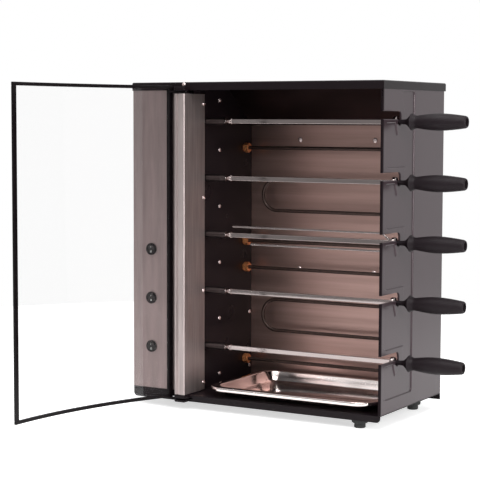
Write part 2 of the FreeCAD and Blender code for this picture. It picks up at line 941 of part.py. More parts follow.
def make_switches():
    """Switch bodies with a round rim, each bored for its rocker and the rocker's pin."""
    bodies = []
    for row, height in enumerate(switch_z, start=1):
        place_of = (switch_x, front, height)
        bezel = prism("Bezel", (switch_x, front - d.bezel_proud, height), d.bezel_proud,
                      d.bezel_radius, 24, "Y")
        barrel = prism("Barrel", place_of, d.switch_depth, d.switch_barrel, 12, "Y")
        bore_depth = d.bezel_proud + d.rocker_depth + d.rocker_gap
        bore = prism("Bore", (switch_x, front - d.bezel_proud, height), bore_depth,
                     d.rocker_radius + d.rocker_gap, 24, "Y")
        pin_reach = d.rocker_radius + d.rocker_gap + d.rocker_pin
        pin_hole = rod("PinHole", (switch_x - pin_reach, rocker_y, height), pin_reach * 2,
                       d.rocker_pin + d.bearing_gap)
        bodies.append(cut("SwitchBody", fuse("SwitchBlock", bezel, barrel), bore, pin_hole))
        make_rocker(row, height, pin_reach)
    node("switch_bodies", group("switch_bodies", *bodies))


def make_rocker(row, height, pin_reach):
    """A round rocker: a disc about its pivot pin, cut to a shallow V at the front."""
    tilt = Rotation(Vector(1, 0, 0), SIZES["rocker_tilt"])
    button = prism("Button", (switch_x, rocker_y, height), 1.0, d.rocker_radius, 24, "Y")
    wedge = doc.addObject("Part::Feature", "Wedge")
    radius = float(d.rocker_radius)
    near, far = -float(d.rocker_front), float(d.rocker_depth - d.rocker_pivot)
    tip = near - float(d.rocker_slope)
    corners = [(near, 0), (tip, radius), (far, radius), (far, -radius), (tip, -radius), (near, 0)]
    wire = Part.makePolygon([Vector(-radius, y, z) for y, z in corners])
    wedge.Shape = Part.Face(wire).extrude(Vector(2 * radius, 0, 0))
    place(wedge, (switch_x, rocker_y, height), tilt)
    bind(button, "Height", far - tip)
    start = tilt.multVec(Vector(0, tip, 0))
    place(button, (switch_x, rocker_y + start.y, height + start.z), tilt.multiply(ALONG["Y"]))
    pin = rod("RockerPin", (switch_x - pin_reach + d.rocker_gap, rocker_y, height),
              (pin_reach - d.rocker_gap) * 2, d.rocker_pin)
    label = "switch_rocker_%d" % row
    node(label, fuse(label, common("RockerButton", button, wedge), pin))


def make_power_inlet():
    """Cable gland in the rear cover."""
    gland = body("power_inlet")
    stem = sketch(gland, "XY", -(d.gland_proud * 2))
    polygon(stem, 0, 0, d.gland_radius - d.sheet, 12)
    pad(gland, stem, d.gland_proud * 2)
    flange = sketch(gland, "XY")
    polygon(flange, 0, 0, d.gland_radius, 12)
    pad(gland, flange, d.gland_proud)
    bore = sketch(gland, "XY", d.gland_proud)
    circle(bore, 0, 0, d.gland_bore)
    pocket(gland, bore, d.gland_proud * 3)
    place(gland, (left + d.gland_inset, back, d.gland_height), ALONG["Y"])


# ---------------------------------------------------------------- gear train
def make_gear(label, teeth, centre, turn, bore):
    """A spur gear: a flat sided blank with one tooth gap cut and patterned about the axis."""
    gear = body(label)
    pitch_radius = module * teeth / 2
    outer = pitch_radius + module * d.gear_addendum
    inner = pitch_radius - module * d.gear_dedendum
    teeth_number = int(float(teeth))
    flatted(gear, gear_start, d.gear_thickness, outer / math.cos(math.pi / teeth_number), teeth_number)
    flank = math.tan(math.radians(SIZES["gear_pressure_angle"] + 90 / teeth_number))
    half_gap = module * (math.pi / 4) + d.gear_backlash / 2
    outside = outer + module
    gap = sketch(gear, "YZ", gear_end)
    low = half_gap - (pitch_radius - inner) * flank
    high = half_gap + (outside - pitch_radius) * flank
    outline(gap, [(-low, inner), (low, inner), (high, outside), (-high, outside)])
    tooth_gap = pocket(gear, gap, d.gear_thickness)
    ring = gear.newObject("PartDesign::PolarPattern", "Teeth")
    ring.Originals = [tooth_gap]
    ring.Axis = (origin_feature(gear, "X_Axis"), [""])
    ring.Angle = 360
    ring.Occurrences = teeth_number
    gear.Tip = ring
    if bore is not None:
        hole = sketch(gear, "YZ", gear_end)
        circle(hole, 0, 0, bore)
        pocket(gear, hole, d.gear_thickness)
    place(gear, (0.0, centre[0], centre[1]), Rotation(Vector(1, 0, 0), turn))
    return gear


def meshed_turn(turn, teeth, direction, other_teeth):
    """Turn of a gear whose tooth meets a gap of its neighbour, which lies along the direction.

    A turn is the angle about +X from +Z to the middle of a tooth gap.
    """
    phase = (direction - turn) * teeth / 360 % 1
    return direction + 180 - (0.5 - phase) * 360 / other_teeth


def make_gear_train():
    """A gear on each spindle, an idler between each pair, and the motor's pinion."""
    teeth = int(SIZES["gear_teeth"])
    pinion_teeth = int(SIZES["pinion_teeth"])
    turn = 0.0
    driven_turn = 0.0
    axles = []
    for row, height in enumerate(skewer_z, start=1):
        make_gear("spit_gear_%d" % row, d.gear_teeth, (skewer_y, height), turn, d.spindle_radius)
        if row == driven + 1:
            driven_turn = turn
        if row == skewer_count:
            break
        middle = height + skewer_pitch / 2
        turn = meshed_turn(turn, teeth, 0.0, teeth)
        make_gear("idler_gear_%d" % row, d.gear_teeth, (skewer_y, middle), turn,
                  d.axle_radius + d.bearing_gap)
        turn = meshed_turn(turn, teeth, 0.0, teeth)
        axles.append(rod("AxlePin", (plate_end, skewer_y, middle),
                         d.gear_plate_gap * 2 + d.gear_thickness, d.axle_radius))
    node("idler_axles", group("idler_axles", *axles))
    turn = meshed_turn(driven_turn, teeth, -90.0, pinion_teeth)
    pinion = make_gear("motor_pinion", d.pinion_teeth, (pinion_y, pinion_z), turn, None)
    shaft_length = d.gear_plate_gap + d.gear_plate_thickness + d.motor_shaft_depth
    disc(pinion, gear_start, shaft_length, d.axle_radius, reverse=True)


def make_gear_plate():
    """Bearing plate of the train, carried from the chamber wall by four standoffs."""
    plate = body("gear_plate")
    low = (skewer_y - d.gear_plate_margin, skewer_z[0] - d.gear_plate_margin * 2)
    high = (skewer_y - d.gear_plate_margin + d.gear_plate_width, skewer_z[-1] + d.gear_plate_margin * 2)
    face = sketch(plate, "YZ", plate_start)
    rectangle(face, low, high)
    pad(plate, face, d.gear_plate_thickness)
    posts = sketch(plate, "YZ", plate_end)
    inset = d.standoff_half * 2
    for y in (low[0] + inset, high[0] - inset):
        for z in (low[1] + inset, high[1] - inset):
            rectangle(posts, (y - d.standoff_half, z - d.standoff_half),
                      (y + d.standoff_half, z + d.standoff_half))
    pad(plate, posts, wall - d.sheet - plate_end)
    holes = sketch(plate, "YZ", plate_end)
    for height in skewer_z:
        circle(holes, skewer_y, height, d.spindle_radius + d.bearing_gap)
    circle(holes, pinion_y, pinion_z, d.axle_radius + d.run_gap)
    pocket(plate, holes, d.gear_plate_thickness)


def make_gear_motor():
    """Round gearbox and motor on the outer side of the bearing plate."""
    box_start = plate_start - d.gearbox_length
    gearbox = prism("Gearbox", (box_start, pinion_y, pinion_z), d.gearbox_length,
                    d.gearbox_radius, 16)
    motor = prism("Motor", (box_start - d.motor_length, pinion_y, pinion_z), d.motor_length,
                  d.motor_radius, 16)
    shaft_depth = d.motor_shaft_depth + d.run_gap
    bore = rod("ShaftBore", (plate_start - shaft_depth, pinion_y, pinion_z), shaft_depth,
               d.axle_radius + d.bearing_gap)
    node("gear_motor", cut("gear_motor", fuse("MotorBlock", gearbox, motor), bore))


def make_spindle_bushes():
    """Bushes in the chamber wall that the spindles turn in."""
    bushes = []
    for height in skewer_z:
        start = (wall - d.bush_length, skewer_y, height)
        sleeve = prism("BushSleeve", start, d.bush_length, d.bush_radius, 8)
        bore = rod("BushBore", start, d.bush_length, d.spindle_radius + d.bearing_gap)
        bushes.append(cut("Bush", sleeve, bore))
    node("spindle_bushes", group("spindle_bushes", *bushes))


# ---------------------------------------------------------------- skewers
def at_spit(piece, height):
    place(piece, (0.0, skewer_y, height))


def make_drive_socket(row, height):
    """Square socket for the shank, with its spindle through the wall to the bearing plate."""
    socket = body("drive_socket_%d" % row)
    tube_start = wall + d.run_gap
    spindle_start = plate_start - d.gear_plate_gap
    disc(socket, spindle_start, tube_start - spindle_start, d.spindle_radius)
    flatted(socket, tube_start, d.socket_length, d.socket_radius, 16)
    bore = sketch(socket, "YZ", tube_start + d.socket_length)
    half = d.socket_bore / 2
    rectangle(bore, (-half, -half), (half, half))
    pocket(socket, bore, d.socket_bore_depth)
    at_spit(socket, height)


def make_skewer(row, height):
    """Square shank, neck, ring, flat blade, stop collar and the tang inside the handle."""
    skewer = body("skewer_%d" % row)
    neck_start = ring_start - d.shank_neck
    shank = sketch(skewer, "YZ", neck_start - d.shank_length)
    half = d.shank_side / 2
    rectangle(shank, (-half, -half), (half, half))
    pad(skewer, shank, d.shank_length)
    flatted(skewer, neck_start, d.shank_neck, d.shank_neck_radius, 8)
    flatted(skewer, ring_start, d.ring_length, d.ring_radius, 12)
    blade = sketch(skewer, "YZ", blade_start)
    rectangle(blade, (-(d.blade_thickness / 2), -(d.blade_height / 2)),
              (d.blade_thickness / 2, d.blade_height / 2))
    pad(skewer, blade, collar_start - blade_start)
    flatted(skewer, collar_start, d.collar_length, d.collar_radius, 16)
    tang = sketch(skewer, "YZ", collar_end)
    half = d.tang_side / 2
    rectangle(tang, (-half, -half), (half, half))
    pad(skewer, tang, tang_length)
    at_spit(skewer, height)


def turned(profile, sides):
    """A turned solid along X with flat sides, from its stations and radii."""
    rings = []
    for station, radius in profile:
        spokes = [2 * math.pi * (side + 0.5) / sides for side in range(sides)]
        rings.append([
            Vector(station, radius * math.cos(spoke), radius * math.sin(spoke)) for spoke in spokes
        ])
    faces = [Part.Face(Part.makePolygon(ring + ring[:1])) for ring in (rings[0], rings[-1])]
    for near, far in zip(rings, rings[1:]):
        for side in range(sides):
            after = (side + 1) % sides
            corners = [near[side], near[after], far[after], far[side], near[side]]
            faces.append(Part.Face(Part.makePolygon(corners)))
    return Part.Solid(Part.makeShell(faces))


def make_handle(row, height):
    """Turned handle: neck, flared guard and a swelling grip, bored for the tang."""
    guard_start = collar_end + d.handle_neck
    guard_peak = guard_start + d.guard_rise
    grip_start = guard_peak + d.guard_fall
    crown = grip_start + d.grip_peak
    grip_end = grip_start + d.grip_length
    swell = (d.grip_crown + d.grip_start_radius) / 2
    taper = (d.grip_crown + d.grip_end_radius) / 2
    profile = [
        (collar_end, d.handle_neck_radius), (guard_start, d.handle_neck_radius),
        (guard_peak - d.guard_edge, d.guard_radius), (guard_peak, d.guard_radius),
        (grip_start, d.grip_start_radius), (grip_start + d.grip_peak / 2, swell + d.grip_arch),
        (crown, d.grip_crown), ((crown + grip_end) / 2, taper + d.grip_arch),
        (grip_end, d.grip_end_radius),
    ]
    blank = doc.addObject("Part::Feature", "HandleBlank")
    blank.Shape = turned([(float(x), float(r)) for x, r in profile], int(SIZES["handle_sides"]))
    half = d.tang_side / 2
    bore = box("TangBore", (collar_end, -half, -half), (collar_end + tang_length, half, half))
    label = "handle_%d" % row
    handle = node(label, cut(label, blank, bore))
    at_spit(handle, height)


def make_twin_prong_fork(height):
    """Two side prongs that meet in a bridge round the blade, for large cuts."""
    fork = body("twin_prong_fork")
    half = d.prong_side / 2
    spread = d.prong_spread
    hub_start = collar_start - d.prong_hub
    bridge_start = hub_start - d.prong_bridge
    blade_side = d.blade_height / 2 + d.bearing_gap * 2
    arms = sketch(fork, "XZ", -half)
    for side, start in ((1, blade_start + d.prong_upper_start), (-1, blade_start + d.prong_lower_start)):
        loop = [
            (start, side * spread), (start + d.prong_side, side * (spread + half)),
            (bridge_start, side * (spread + half)), (hub_start, side * d.prong_hub_half),
            (collar_start, side * d.prong_hub_half), (collar_start, side * blade_side),
            (hub_start - d.prong_side, side * blade_side),
            (bridge_start, side * (spread - half)),
            (start + d.prong_side, side * (spread - half)),
        ]
        outline(arms, loop)
    pad(fork, arms, d.prong_side)
    hub = sketch(fork, "YZ", hub_start)
    rectangle(hub, (-d.prong_side, -d.prong_hub_half), (d.prong_side, d.prong_hub_half))
    slot_half = d.blade_thickness / 2 + d.bearing_gap * 2
    rectangle(hub, (-slot_half, -blade_side), (slot_half, blade_side))
    pad(fork, hub, d.prong_hub)
    at_spit(fork, height)


# ---------------------------------------------------------------- heating elements
element_bend = (d.cover_bottom - d.element_head - d.element_foot - d.element_space) / 12
element_step = element_bend * 2
element_right = reflector_right - d.element_right - element_bend
element_left = wall + d.element_left + element_bend
upper_passes = [d.cover_bottom - d.element_head - element_step * row for row in range(4)]
lower_passes = [d.element_foot + element_step * (3 - row) for row in range(4)]
element_ends = [upper_passes[0], upper_passes[-1], lower_passes[0], lower_passes[-1]]
element_tail = wall - d.sheet - d.element_tail
element_corner = d.element_radius / math.cos(math.pi / ELEMENT_SIDES)


def make_element(label, passes):
    """A six sided rod bent three times in the plane in front of the reflector."""
    element = body(label)
    route = sketch(element, "XZ", -element_y)
    knots = [((element_tail, passes[0]), None)]
    turns = (element_right, element_left, element_right)
    for row, turn in enumerate(turns):
        side = -1 if turn is element_right else 1
        knots += [((turn, passes[row]), (element_bend, side)), ((turn, passes[row + 1]), None)]
    knots.append(((element_tail, passes[-1]), None))
    draw_path(route, knots, closed=False)
    section = sketch(element, "YZ", element_tail)
    polygon(section, element_y, passes[0], element_corner, ELEMENT_SIDES)
    rod_pipe = element.newObject("PartDesign::AdditivePipe", "Pipe")
    rod_pipe.Profile = section
    rod_pipe.Spine = (route, ["Edge%d" % (index + 1) for index in range(len(knots) - 1)])


def make_element_nuts():
    """Brass gland nuts in the chamber, with jam nuts behind the wall."""
    nuts = []
    places = [(wall, d.nut_length), (wall - d.sheet - d.jam_nut_length, d.jam_nut_length)]
    for height in element_ends:
        for start, length in places:
            across = d.nut_across / 2 / math.cos(math.pi / 6)
            blank = prism("NutBlank", (start, element_y, height), length, across, 6)
            bore = prism("NutBore", (start, element_y, height), length, element_corner, ELEMENT_SIDES)
            nuts.append(cut("Nut", blank, bore))
    node("element_nuts", group("element_nuts", *nuts))


def make_element_clips():
    """Stand-off clips between the reflector and each right hand bend."""
    clips = []
    half = d.clip_width / 2
    bend_x = element_right + element_bend
    for passes in (upper_passes, lower_passes):
        for row in (0, 2):
            middle = passes[row] - element_bend
            foot = box("ClipFoot", (bend_x - half, reflector - d.sheet, middle - d.clip_width),
                       (bend_x + half, reflector, middle + d.clip_width))
            stem = box("ClipStem", (bend_x - half, element_y + d.element_radius, middle - d.sheet),
                       (bend_x + half, reflector - d.sheet, middle + d.sheet))
            clips.append(fuse("Clip", foot, stem))
    node("element_clips", group("element_clips", *clips))


# ---------------------------------------------------------------- drip tray
def rounded_rectangle(drawing, low, high, radius):
    outline(drawing, [
        (low[0], low[1], radius), (high[0], low[1], radius),
        (high[0], high[1], radius), (low[0], high[1], radius),
    ])


def loft(piece, kind, first, last):
    feature = piece.newObject("PartDesign::" + kind, kind)
    feature.Profile = first
    feature.Sections = [last]
    feature.Ruled = True
    return feature


def make_drip_tray():
    """Pressed tray: flat rim, sloping walls, large corners."""
    tray = body("drip_tray")
    low = (wall + d.tray_left, front + d.tray_front)
    high = (right - d.tray_right, back - d.tray_rear)
    bottom = floor + d.run_gap
    top = bottom + d.tray_height

    def inset_sketch(height, inset):
        drawing = sketch(tray, "XY", height)
        radius = d.tray_corner - d.tray_rim
        if inset is None:
            rounded_rectangle(drawing, low, high, d.tray_corner)
        else:
            rounded_rectangle(drawing, (low[0] + inset, low[1] + inset),
                              (high[0] - inset, high[1] - inset), radius)
        return drawing

    pad(tray, inset_sketch(top - d.tray_sheet, None), d.tray_sheet)
    foot = d.tray_rim + d.tray_slope
    skin = d.tray_sheet
    loft(tray, "AdditiveLoft", inset_sketch(top, d.tray_rim), inset_sketch(bottom, foot))
    loft(tray, "SubtractiveLoft", inset_sketch(top, d.tray_rim + skin),
         inset_sketch(bottom + skin, foot + skin))


# ---------------------------------------------------------------- door
door_arc = (door_chord * door_chord / 4 + d.door_bow * d.door_bow) / (d.door_bow * 2)
door_middle = door_left + door_chord / 2
door_centre = door_y - d.door_bow + door_arc


def bow_y(x, offset):
    """Height of the door's arc at x, on the circle that lies offset outside its middle."""
    reach = door_arc + offset
    run = x - door_middle
    return door_centre - root(reach * reach - run * run)


def hang(piece):
    """Turn a piece drawn on the shut door about the hinge pin to the open pose."""
    turn = Rotation(UP, -SIZES["door_open"])
    pin = Vector(float(pivot_x), float(pivot_y), 0)
    piece.Placement = Placement(Vector(), turn, pin)


def make_bowed(label, start, end, half, bottom, height):
    piece = body(label)
    section = sketch(piece, "XY", bottom)
    outline(section, [
        (start, bow_y(start, half)), Bend(door_arc + half), (end, bow_y(end, half)),
        (end, bow_y(end, -half)), Bend(-(door_arc - half)), (start, bow_y(start, -half)),
    ])
    pad(piece, section, height)
    hang(piece)


def make_door():
    """Bowed glass in a slim black frame, on two arms with hinge pins."""
    frame = d.door_frame_half
    above_rail = door_bottom + d.door_rail
    between = door_height - d.door_rail * 2
    make_bowed("door_bottom_rail", door_left, door_right, frame, door_bottom, d.door_rail)
    make_bowed("door_top_rail", door_left, door_right, frame, above_rail + between, d.door_rail)
    make_bowed("door_hinge_stile", door_left, door_left + d.door_stile, frame, above_rail, between)
    make_bowed("door_free_stile", door_right - d.door_stile, door_right, frame, above_rail, between)
    make_bowed("door_glass", door_left + d.door_stile, door_right - d.door_stile,
               d.door_glass_half, above_rail, between)
    arms = body("door_hinge_arms")
    eye = d.arm_eye
    inner = door_left + d.door_stile
    for jaw in (lower_jaw, upper_jaw):
        arm = sketch(arms, "XY", jaw + d.jaw_gap)
        outline(arm, [
            (pivot_x - eye, pivot_y + eye, eye - d.jaw_gap),
            (pivot_x + eye, pivot_y + eye, eye - d.jaw_gap),
            (inner, bow_y(inner, -frame) + eye), (inner, bow_y(inner, -frame)),
            Bend(-(door_arc - frame)), (door_left, bow_y(door_left, -frame)),
            (pivot_x - eye, pivot_y - eye),
        ])
        pad(arms, arm, d.arm_thickness)
    for start, end in ((d.base_bottom + d.sheet, post_bottom), (post_top, d.cover_bottom)):
        pin = sketch(arms, "XY", start + d.jaw_gap)
        circle(pin, pivot_x, pivot_y, d.pin_radius)
        pad(arms, pin, end - start - d.jaw_gap * 2)
    hang(arms)


# ---------------------------------------------------------------- fasteners
def screw_head(point, axis):
    """A pan head that stands on the face at the point, towards +X or -Y."""
    start = point if axis == "X" else (point[0], point[1] - d.screw_height, point[2])
    return prism("Head", start, d.screw_height, d.screw_radius, 8, axis)


def make_screws():
    """Screw heads of the chamber wall, the reflector, the post and the cover."""
    wall_y = front + d.wall_screw_inset
    heads = [
        screw_head((wall, wall_y, d.wall_screw_first + d.wall_screw_pitch * row), "X")
        for row in range(5)
    ]
    heads.append(screw_head((wall, wall_y, d.cover_bottom - d.wall_screw_head), "X"))
    for row in range(2):
        height = d.wall_screw_first + d.wall_screw_pitch * row
        heads.append(screw_head((wall, front + d.rear_screw_inset, height), "X"))
        for column in range(2):
            x = wall + d.rear_screw_left + d.rear_screw_pitch * column
            z = d.rear_screw_lower + d.rear_screw_rise * row
            heads.append(screw_head((x, reflector, z), "Y"))
    flange_x = post_right - d.post_joggle
    flange_y = post_front + d.post_side + d.post_joggle + d.post_flange - d.screw_radius
    lowest = post_bottom + d.post_screw_foot
    for row in range(4):
        height = lowest + (post_top - d.post_screw_head - lowest) / 3 * row
        heads.append(screw_head((flange_x, flange_y, height), "X"))
    cover_face = front - d.cover_gap - d.sheet
    heads.append(screw_head((wall, cover_face, d.cover_bottom + d.cover_height * 0.7), "Y"))
    node("chamber_screws", group("chamber_screws", *heads))


# ---------------------------------------------------------------- the whole grill
def make_grill():
    make_base_pan()
    make_right_side_panel()
    make_left_side_panel()
    make_column_front()
    make_chamber_side_wall()
    make_corner_post()
    make_back_reflector()
    make_rear_cover()
    make_hood_deflector()
    make_top_cover()
    make_feet()
    make_upper_hinge_block()
    make_lower_hinge_block()
    make_switches()
    make_power_inlet()
    make_gear_train()
    make_gear_plate()
    make_gear_motor()
    make_spindle_bushes()
    for row, height in enumerate(skewer_z, start=1):
        make_drive_socket(row, height)
        make_skewer(row, height)
        make_handle(row, height)
    make_twin_prong_fork(skewer_z[driven])
    make_element("upper_heating_element", upper_passes)
    make_element("lower_heating_element", lower_passes)
    make_element_nuts()
    make_element_clips()
    make_drip_tray()
    make_door()
    make_screws()


def check_document():
    """Stop if an object failed, a shape is bad or a cut removed nothing."""
    for item in doc.Objects:
        if "Invalid" in item.State or "Error" in item.State:
            raise RuntimeError("%s (%s) failed: %s" % (item.Name, item.Label, item.State))
        if item.TypeId in ("PartDesign::Pocket", "PartDesign::SubtractiveLoft"):
            if item.Shape.Volume > item.BaseFeature.Shape.Volume - 0.1:
                raise RuntimeError("%s of %s cuts nothing" % (item.Name, item.getParent().Label))
    for item in NODES:
        if item.Shape.isNull() or not item.Shape.isValid():
            raise RuntimeError("%s has no valid shape" % item.Label)


def write_parts():
    os.makedirs("parts", exist_ok=True)
    for item in NODES:
        item.Shape.exportStep("parts/%s.step" % item.Label)


make_grill()
doc.recompute()
check_document()
write_parts()
print("%d parts written" % len(NODES))
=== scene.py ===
import json
import math

import bmesh
import bpy
from bpy.props import FloatProperty, FloatVectorProperty, IntProperty, PointerProperty
from mathutils import Matrix, Vector


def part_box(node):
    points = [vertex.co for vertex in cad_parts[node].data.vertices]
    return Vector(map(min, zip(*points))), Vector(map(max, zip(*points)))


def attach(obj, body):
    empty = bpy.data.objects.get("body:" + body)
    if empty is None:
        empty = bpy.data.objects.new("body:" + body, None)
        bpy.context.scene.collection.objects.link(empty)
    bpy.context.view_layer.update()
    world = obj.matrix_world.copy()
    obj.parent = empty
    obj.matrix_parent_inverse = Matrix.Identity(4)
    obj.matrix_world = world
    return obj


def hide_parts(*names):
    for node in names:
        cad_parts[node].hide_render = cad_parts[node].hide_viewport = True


bl_info = {
    "name": "Electric skewer grill",
    "version": (1, 0, 0),
    "blender": (4, 5, 0),
    "location": "View3D > Sidebar > Grill",
    "description": "Dresses the solids of an upright skewer grill with its finishes and fittings",
    "category": "Object",
}

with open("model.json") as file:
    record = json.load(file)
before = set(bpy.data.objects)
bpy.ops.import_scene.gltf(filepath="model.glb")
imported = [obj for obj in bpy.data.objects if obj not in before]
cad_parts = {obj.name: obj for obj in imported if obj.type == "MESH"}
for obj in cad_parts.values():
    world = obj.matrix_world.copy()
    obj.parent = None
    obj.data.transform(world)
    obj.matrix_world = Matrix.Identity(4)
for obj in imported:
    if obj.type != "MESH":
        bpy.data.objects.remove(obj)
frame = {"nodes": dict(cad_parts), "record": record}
BODY_OF = {
    node: body
    for body, nodes in frame["record"]["behaviour"]["bodies"].items()
    for node in nodes
}
SPITS = range(1, 6)
IDLERS = range(1, 5)
SWITCHES = range(1, 4)

# places that the new pieces take from the solids
HANDLE_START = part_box("handle_1")[0].x
HANDLE_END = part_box("handle_1")[1].x
FOOT_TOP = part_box("feet")[1].z
COLUMN_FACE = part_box("column_front")[0].y
PANEL_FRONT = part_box("right_side_panel")[0].y
PANEL_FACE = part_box("right_side_panel")[1].x

# how near two corners lie that are one, in a solid's loose triangles and in a new piece
SOLID_WELD = 0.000003
PIECE_WELD = 0.000002
FLAT = math.radians(0.5)


def length(name, description, default, low=0.0, high=1.0):
    """A size that can be changed, in metres."""
    return FloatProperty(
        name=name, description=description, default=default, min=low, max=high,
        unit="LENGTH", subtype="DISTANCE", precision=5,
    )


def colour(name, description, default):
    """A colour that can be changed, in linear values."""
    return FloatVectorProperty(
        name=name, description=description, default=default, min=0.0, max=1.0,
        size=3, subtype="COLOR",
    )


class GrillSizes(bpy.types.PropertyGroup):
    """Roundings and sizes of the pieces that the solids hold plainer"""
    sheet_round: length("Sheet edge", "Rounding of the sheet metal and the hinge arms", 0.0004)
    press_round: length("Pressing", "Rounding of the pressed steps of the side panel", 0.00055)
    step_round: length("Shoulder", "Rounding of the shoulders of the pressed comb", 0.0018)
    rim_round: length("Rolled rim", "Rounding of the slots and the hemmed front edge", 0.0017)
    block_round: length("Block edge", "Rounding of the moulded hinge blocks", 0.0007)
    frame_round: length("Frame edge", "Rounding of the door's frame", 0.0007)
    blade_round: length("Blade edge", "Rounding of the skewer blades", 0.0012)
    prong_round: length("Prong edge", "Rounding of the side prongs", 0.0009)
    nut_round: length("Nut edge", "Rounding of the gland nuts and the cord gland", 0.0006)
    part_round: length("Part edge", "Rounding of the rockers and the drive sockets", 0.0005)
    fine_round: length("Fine edge", "Rounding of gears, clips, post and switch bodies", 0.0003)
    bush_round: length("Bush edge", "Rounding of the spindle bushes", 0.0002)
    motor_round: length("Motor edge", "Rounding of the motor can", 0.0012)
    tube_radius: length("Tube radius", "Radius of the heating tubes", 0.0039)
    tube_gap: length("Tube gap", "From the chamber's side wall to the tubes' near bend", 0.048)
    ring_radius: length("Skewer ring", "Radius of the ring at the drive end", 0.0062)
    collar_radius: length("Skewer collar", "Radius of the collar before the handle", 0.0110)
    neck_radius: length("Neck radius", "Radius of the neck of the handles", 0.0048)
    guard_radius: length("Guard radius", "Radius of the flared guard of the handles", 0.0170)
    grip_radius: length("Grip radius", "Largest radius of the handles", 0.0170)
    tray_sheet: length("Tray sheet", "Thickness of the tray's sheet", 0.0008)
    tray_corner: length("Tray corner", "Corner radius of the tray", 0.046)
    tray_rim: length("Tray rim", "Width of the tray's flat rim", 0.0150)
    tray_slope: length("Tray slope", "How far the tray's walls lean in", 0.0110)
    tray_lip: length("Tray lip", "Height of the tray's turned-down lip", 0.0052)
    screw_radius: length("Screw head", "Radius of the screw heads", 0.0043)
    screw_dome: length("Screw dome", "Height of the screw heads", 0.0021)
    bezel_radius: length("Switch rim", "Radius of the switch rims, at their middle", 0.01148)
    mark_height: length("Mark height", "Height of the letters beside the switches", 0.0036)
    mark_gap: length("Mark gap", "From the middle of a switch to its letters", 0.0163)
    round_sides: IntProperty(
        name="Sides", description="Sides of the turned pieces", default=48, min=12, max=128
    )


class GrillColours(bpy.types.PropertyGroup):
    """Colours of the finishes"""
    # this black also serves as the painted shade on the side panels' front hem
    enamel: colour("Enamel", "Black enamel of the cabinet", (0.0080, 0.0052, 0.0064))
    panel: colour("Side panels", "Satin grey coat of the side panels", (0.027, 0.017, 0.0205))
    stainless: colour("Stainless", "Brushed stainless of the column", (0.265, 0.207, 0.203))
    bright: colour("Bright stainless", "Bright rolled stainless of the post", (0.45, 0.385, 0.375))
    reflector: colour("Reflector", "Heat tinted reflector behind the tubes", (0.42, 0.275, 0.245))
    smoked: colour("Hood", "Smoked steel of the hood plate", (0.036, 0.022, 0.022))
    tube: colour("Heating tube", "Scaled steel of the heating tubes", (0.050, 0.030, 0.025))
    copper: colour("Gland nuts", "Coppery brass of the gland nuts", (0.95, 0.37, 0.15))
    bronze: colour("Bushes", "Sintered bronze of the spindle bushes", (0.57, 0.222, 0.09))
    chrome: colour("Skewers", "Bright plated skewers", (0.35, 0.300, 0.292))
    socket: colour("Sockets", "Dark steel of the drive sockets", (0.055, 0.045, 0.045))
    screw: colour("Screws", "Plated screws and clips", (0.84, 0.72, 0.7008))
    tray: colour("Tray", "Bright rolled steel of the drip tray", (0.78, 0.70, 0.68))
    grip: colour("Handles", "Black heat-proof moulding", (0.0075, 0.0042, 0.0058))
    rubber: colour("Feet", "Black rubber", (0.020, 0.020, 0.020))
    plastic: colour("Switches", "Black gloss moulding", (0.007, 0.007, 0.0075))
    frame: colour("Door frame", "Black paint of the door's frame", (0.0040, 0.0026, 0.0032))
    steel: colour("Gears", "Cut steel of the drive", (0.46, 0.45, 0.44))
    zinc: colour("Motor", "Zinc plated motor can", (0.42, 0.42, 0.44))
    glass: colour("Glass", "Clear tempered glass", (0.96, 0.985, 0.975))
    letters: colour("Letters", "Grey of the letters beside the switches", (0.16, 0.14, 0.14))
    marks: colour("Marks", "White of the marks on the rockers", (0.72, 0.72, 0.70))
    floor: colour("Floor", "Pale floor", (0.86, 0.86, 0.86))


def sizes():
    return bpy.context.scene.grill_sizes


def colours():
    return bpy.context.scene.grill_colours


# ---------------------------------------------------------------- finishes
class Nodes:
    """A node tree that is being laid out."""

    def __init__(self, tree):
        self.tree = tree

    def feed(self, socket, value):
        """Links the socket to another one, or sets it to a plain value."""
        if isinstance(value, bpy.types.NodeSocket):
            self.tree.links.new(value, socket)
        else:
            socket.default_value = value

    def add(self, kind, **inputs):
        """A new node, with the inputs that are named fed."""
        node = self.tree.nodes.new("ShaderNode" + kind)
        for name, value in inputs.items():
            self.feed(node.inputs[name.replace("_", " ")], value)
        return node

    def calculate(self, operation, first, second):
        """A sum, a product or a comparison of two values."""
        node = self.add("Math")
        node.operation = operation
        self.feed(node.inputs[0], first)
        self.feed(node.inputs[1], second)
        return node.outputs["Value"]

    def ranged(self, value, low, high, start, end, course="LINEAR"):
        """Brings a value that runs from start to end to the range from low to high."""
        node = self.add("MapRange", Value=value, From_Min=start, From_Max=end,
                        To_Min=low, To_Max=high)
        node.interpolation_type = course
        return node.outputs["Result"]

    def mix(self, kind, share, first, second):
        """The first where the share is nought, the second where it is one."""
        node = self.add("Mix", Factor=share)
        node.data_type = "RGBA" if kind == "Color" else "FLOAT"
        inputs = {socket.identifier: socket for socket in node.inputs}
        outputs = {socket.identifier: socket for socket in node.outputs}
        self.feed(inputs["A_" + kind], first)
        self.feed(inputs["B_" + kind], second)
        return outputs["Result_" + kind]

    def any_ray(self, *kinds):
        """One for the named kinds of ray, nought for the rest."""
        rays = self.add("LightPath").outputs
        value = rays[kinds[0]]
        for kind in kinds[1:]:
            value = self.calculate("MAXIMUM", value, rays[kind])
        return value


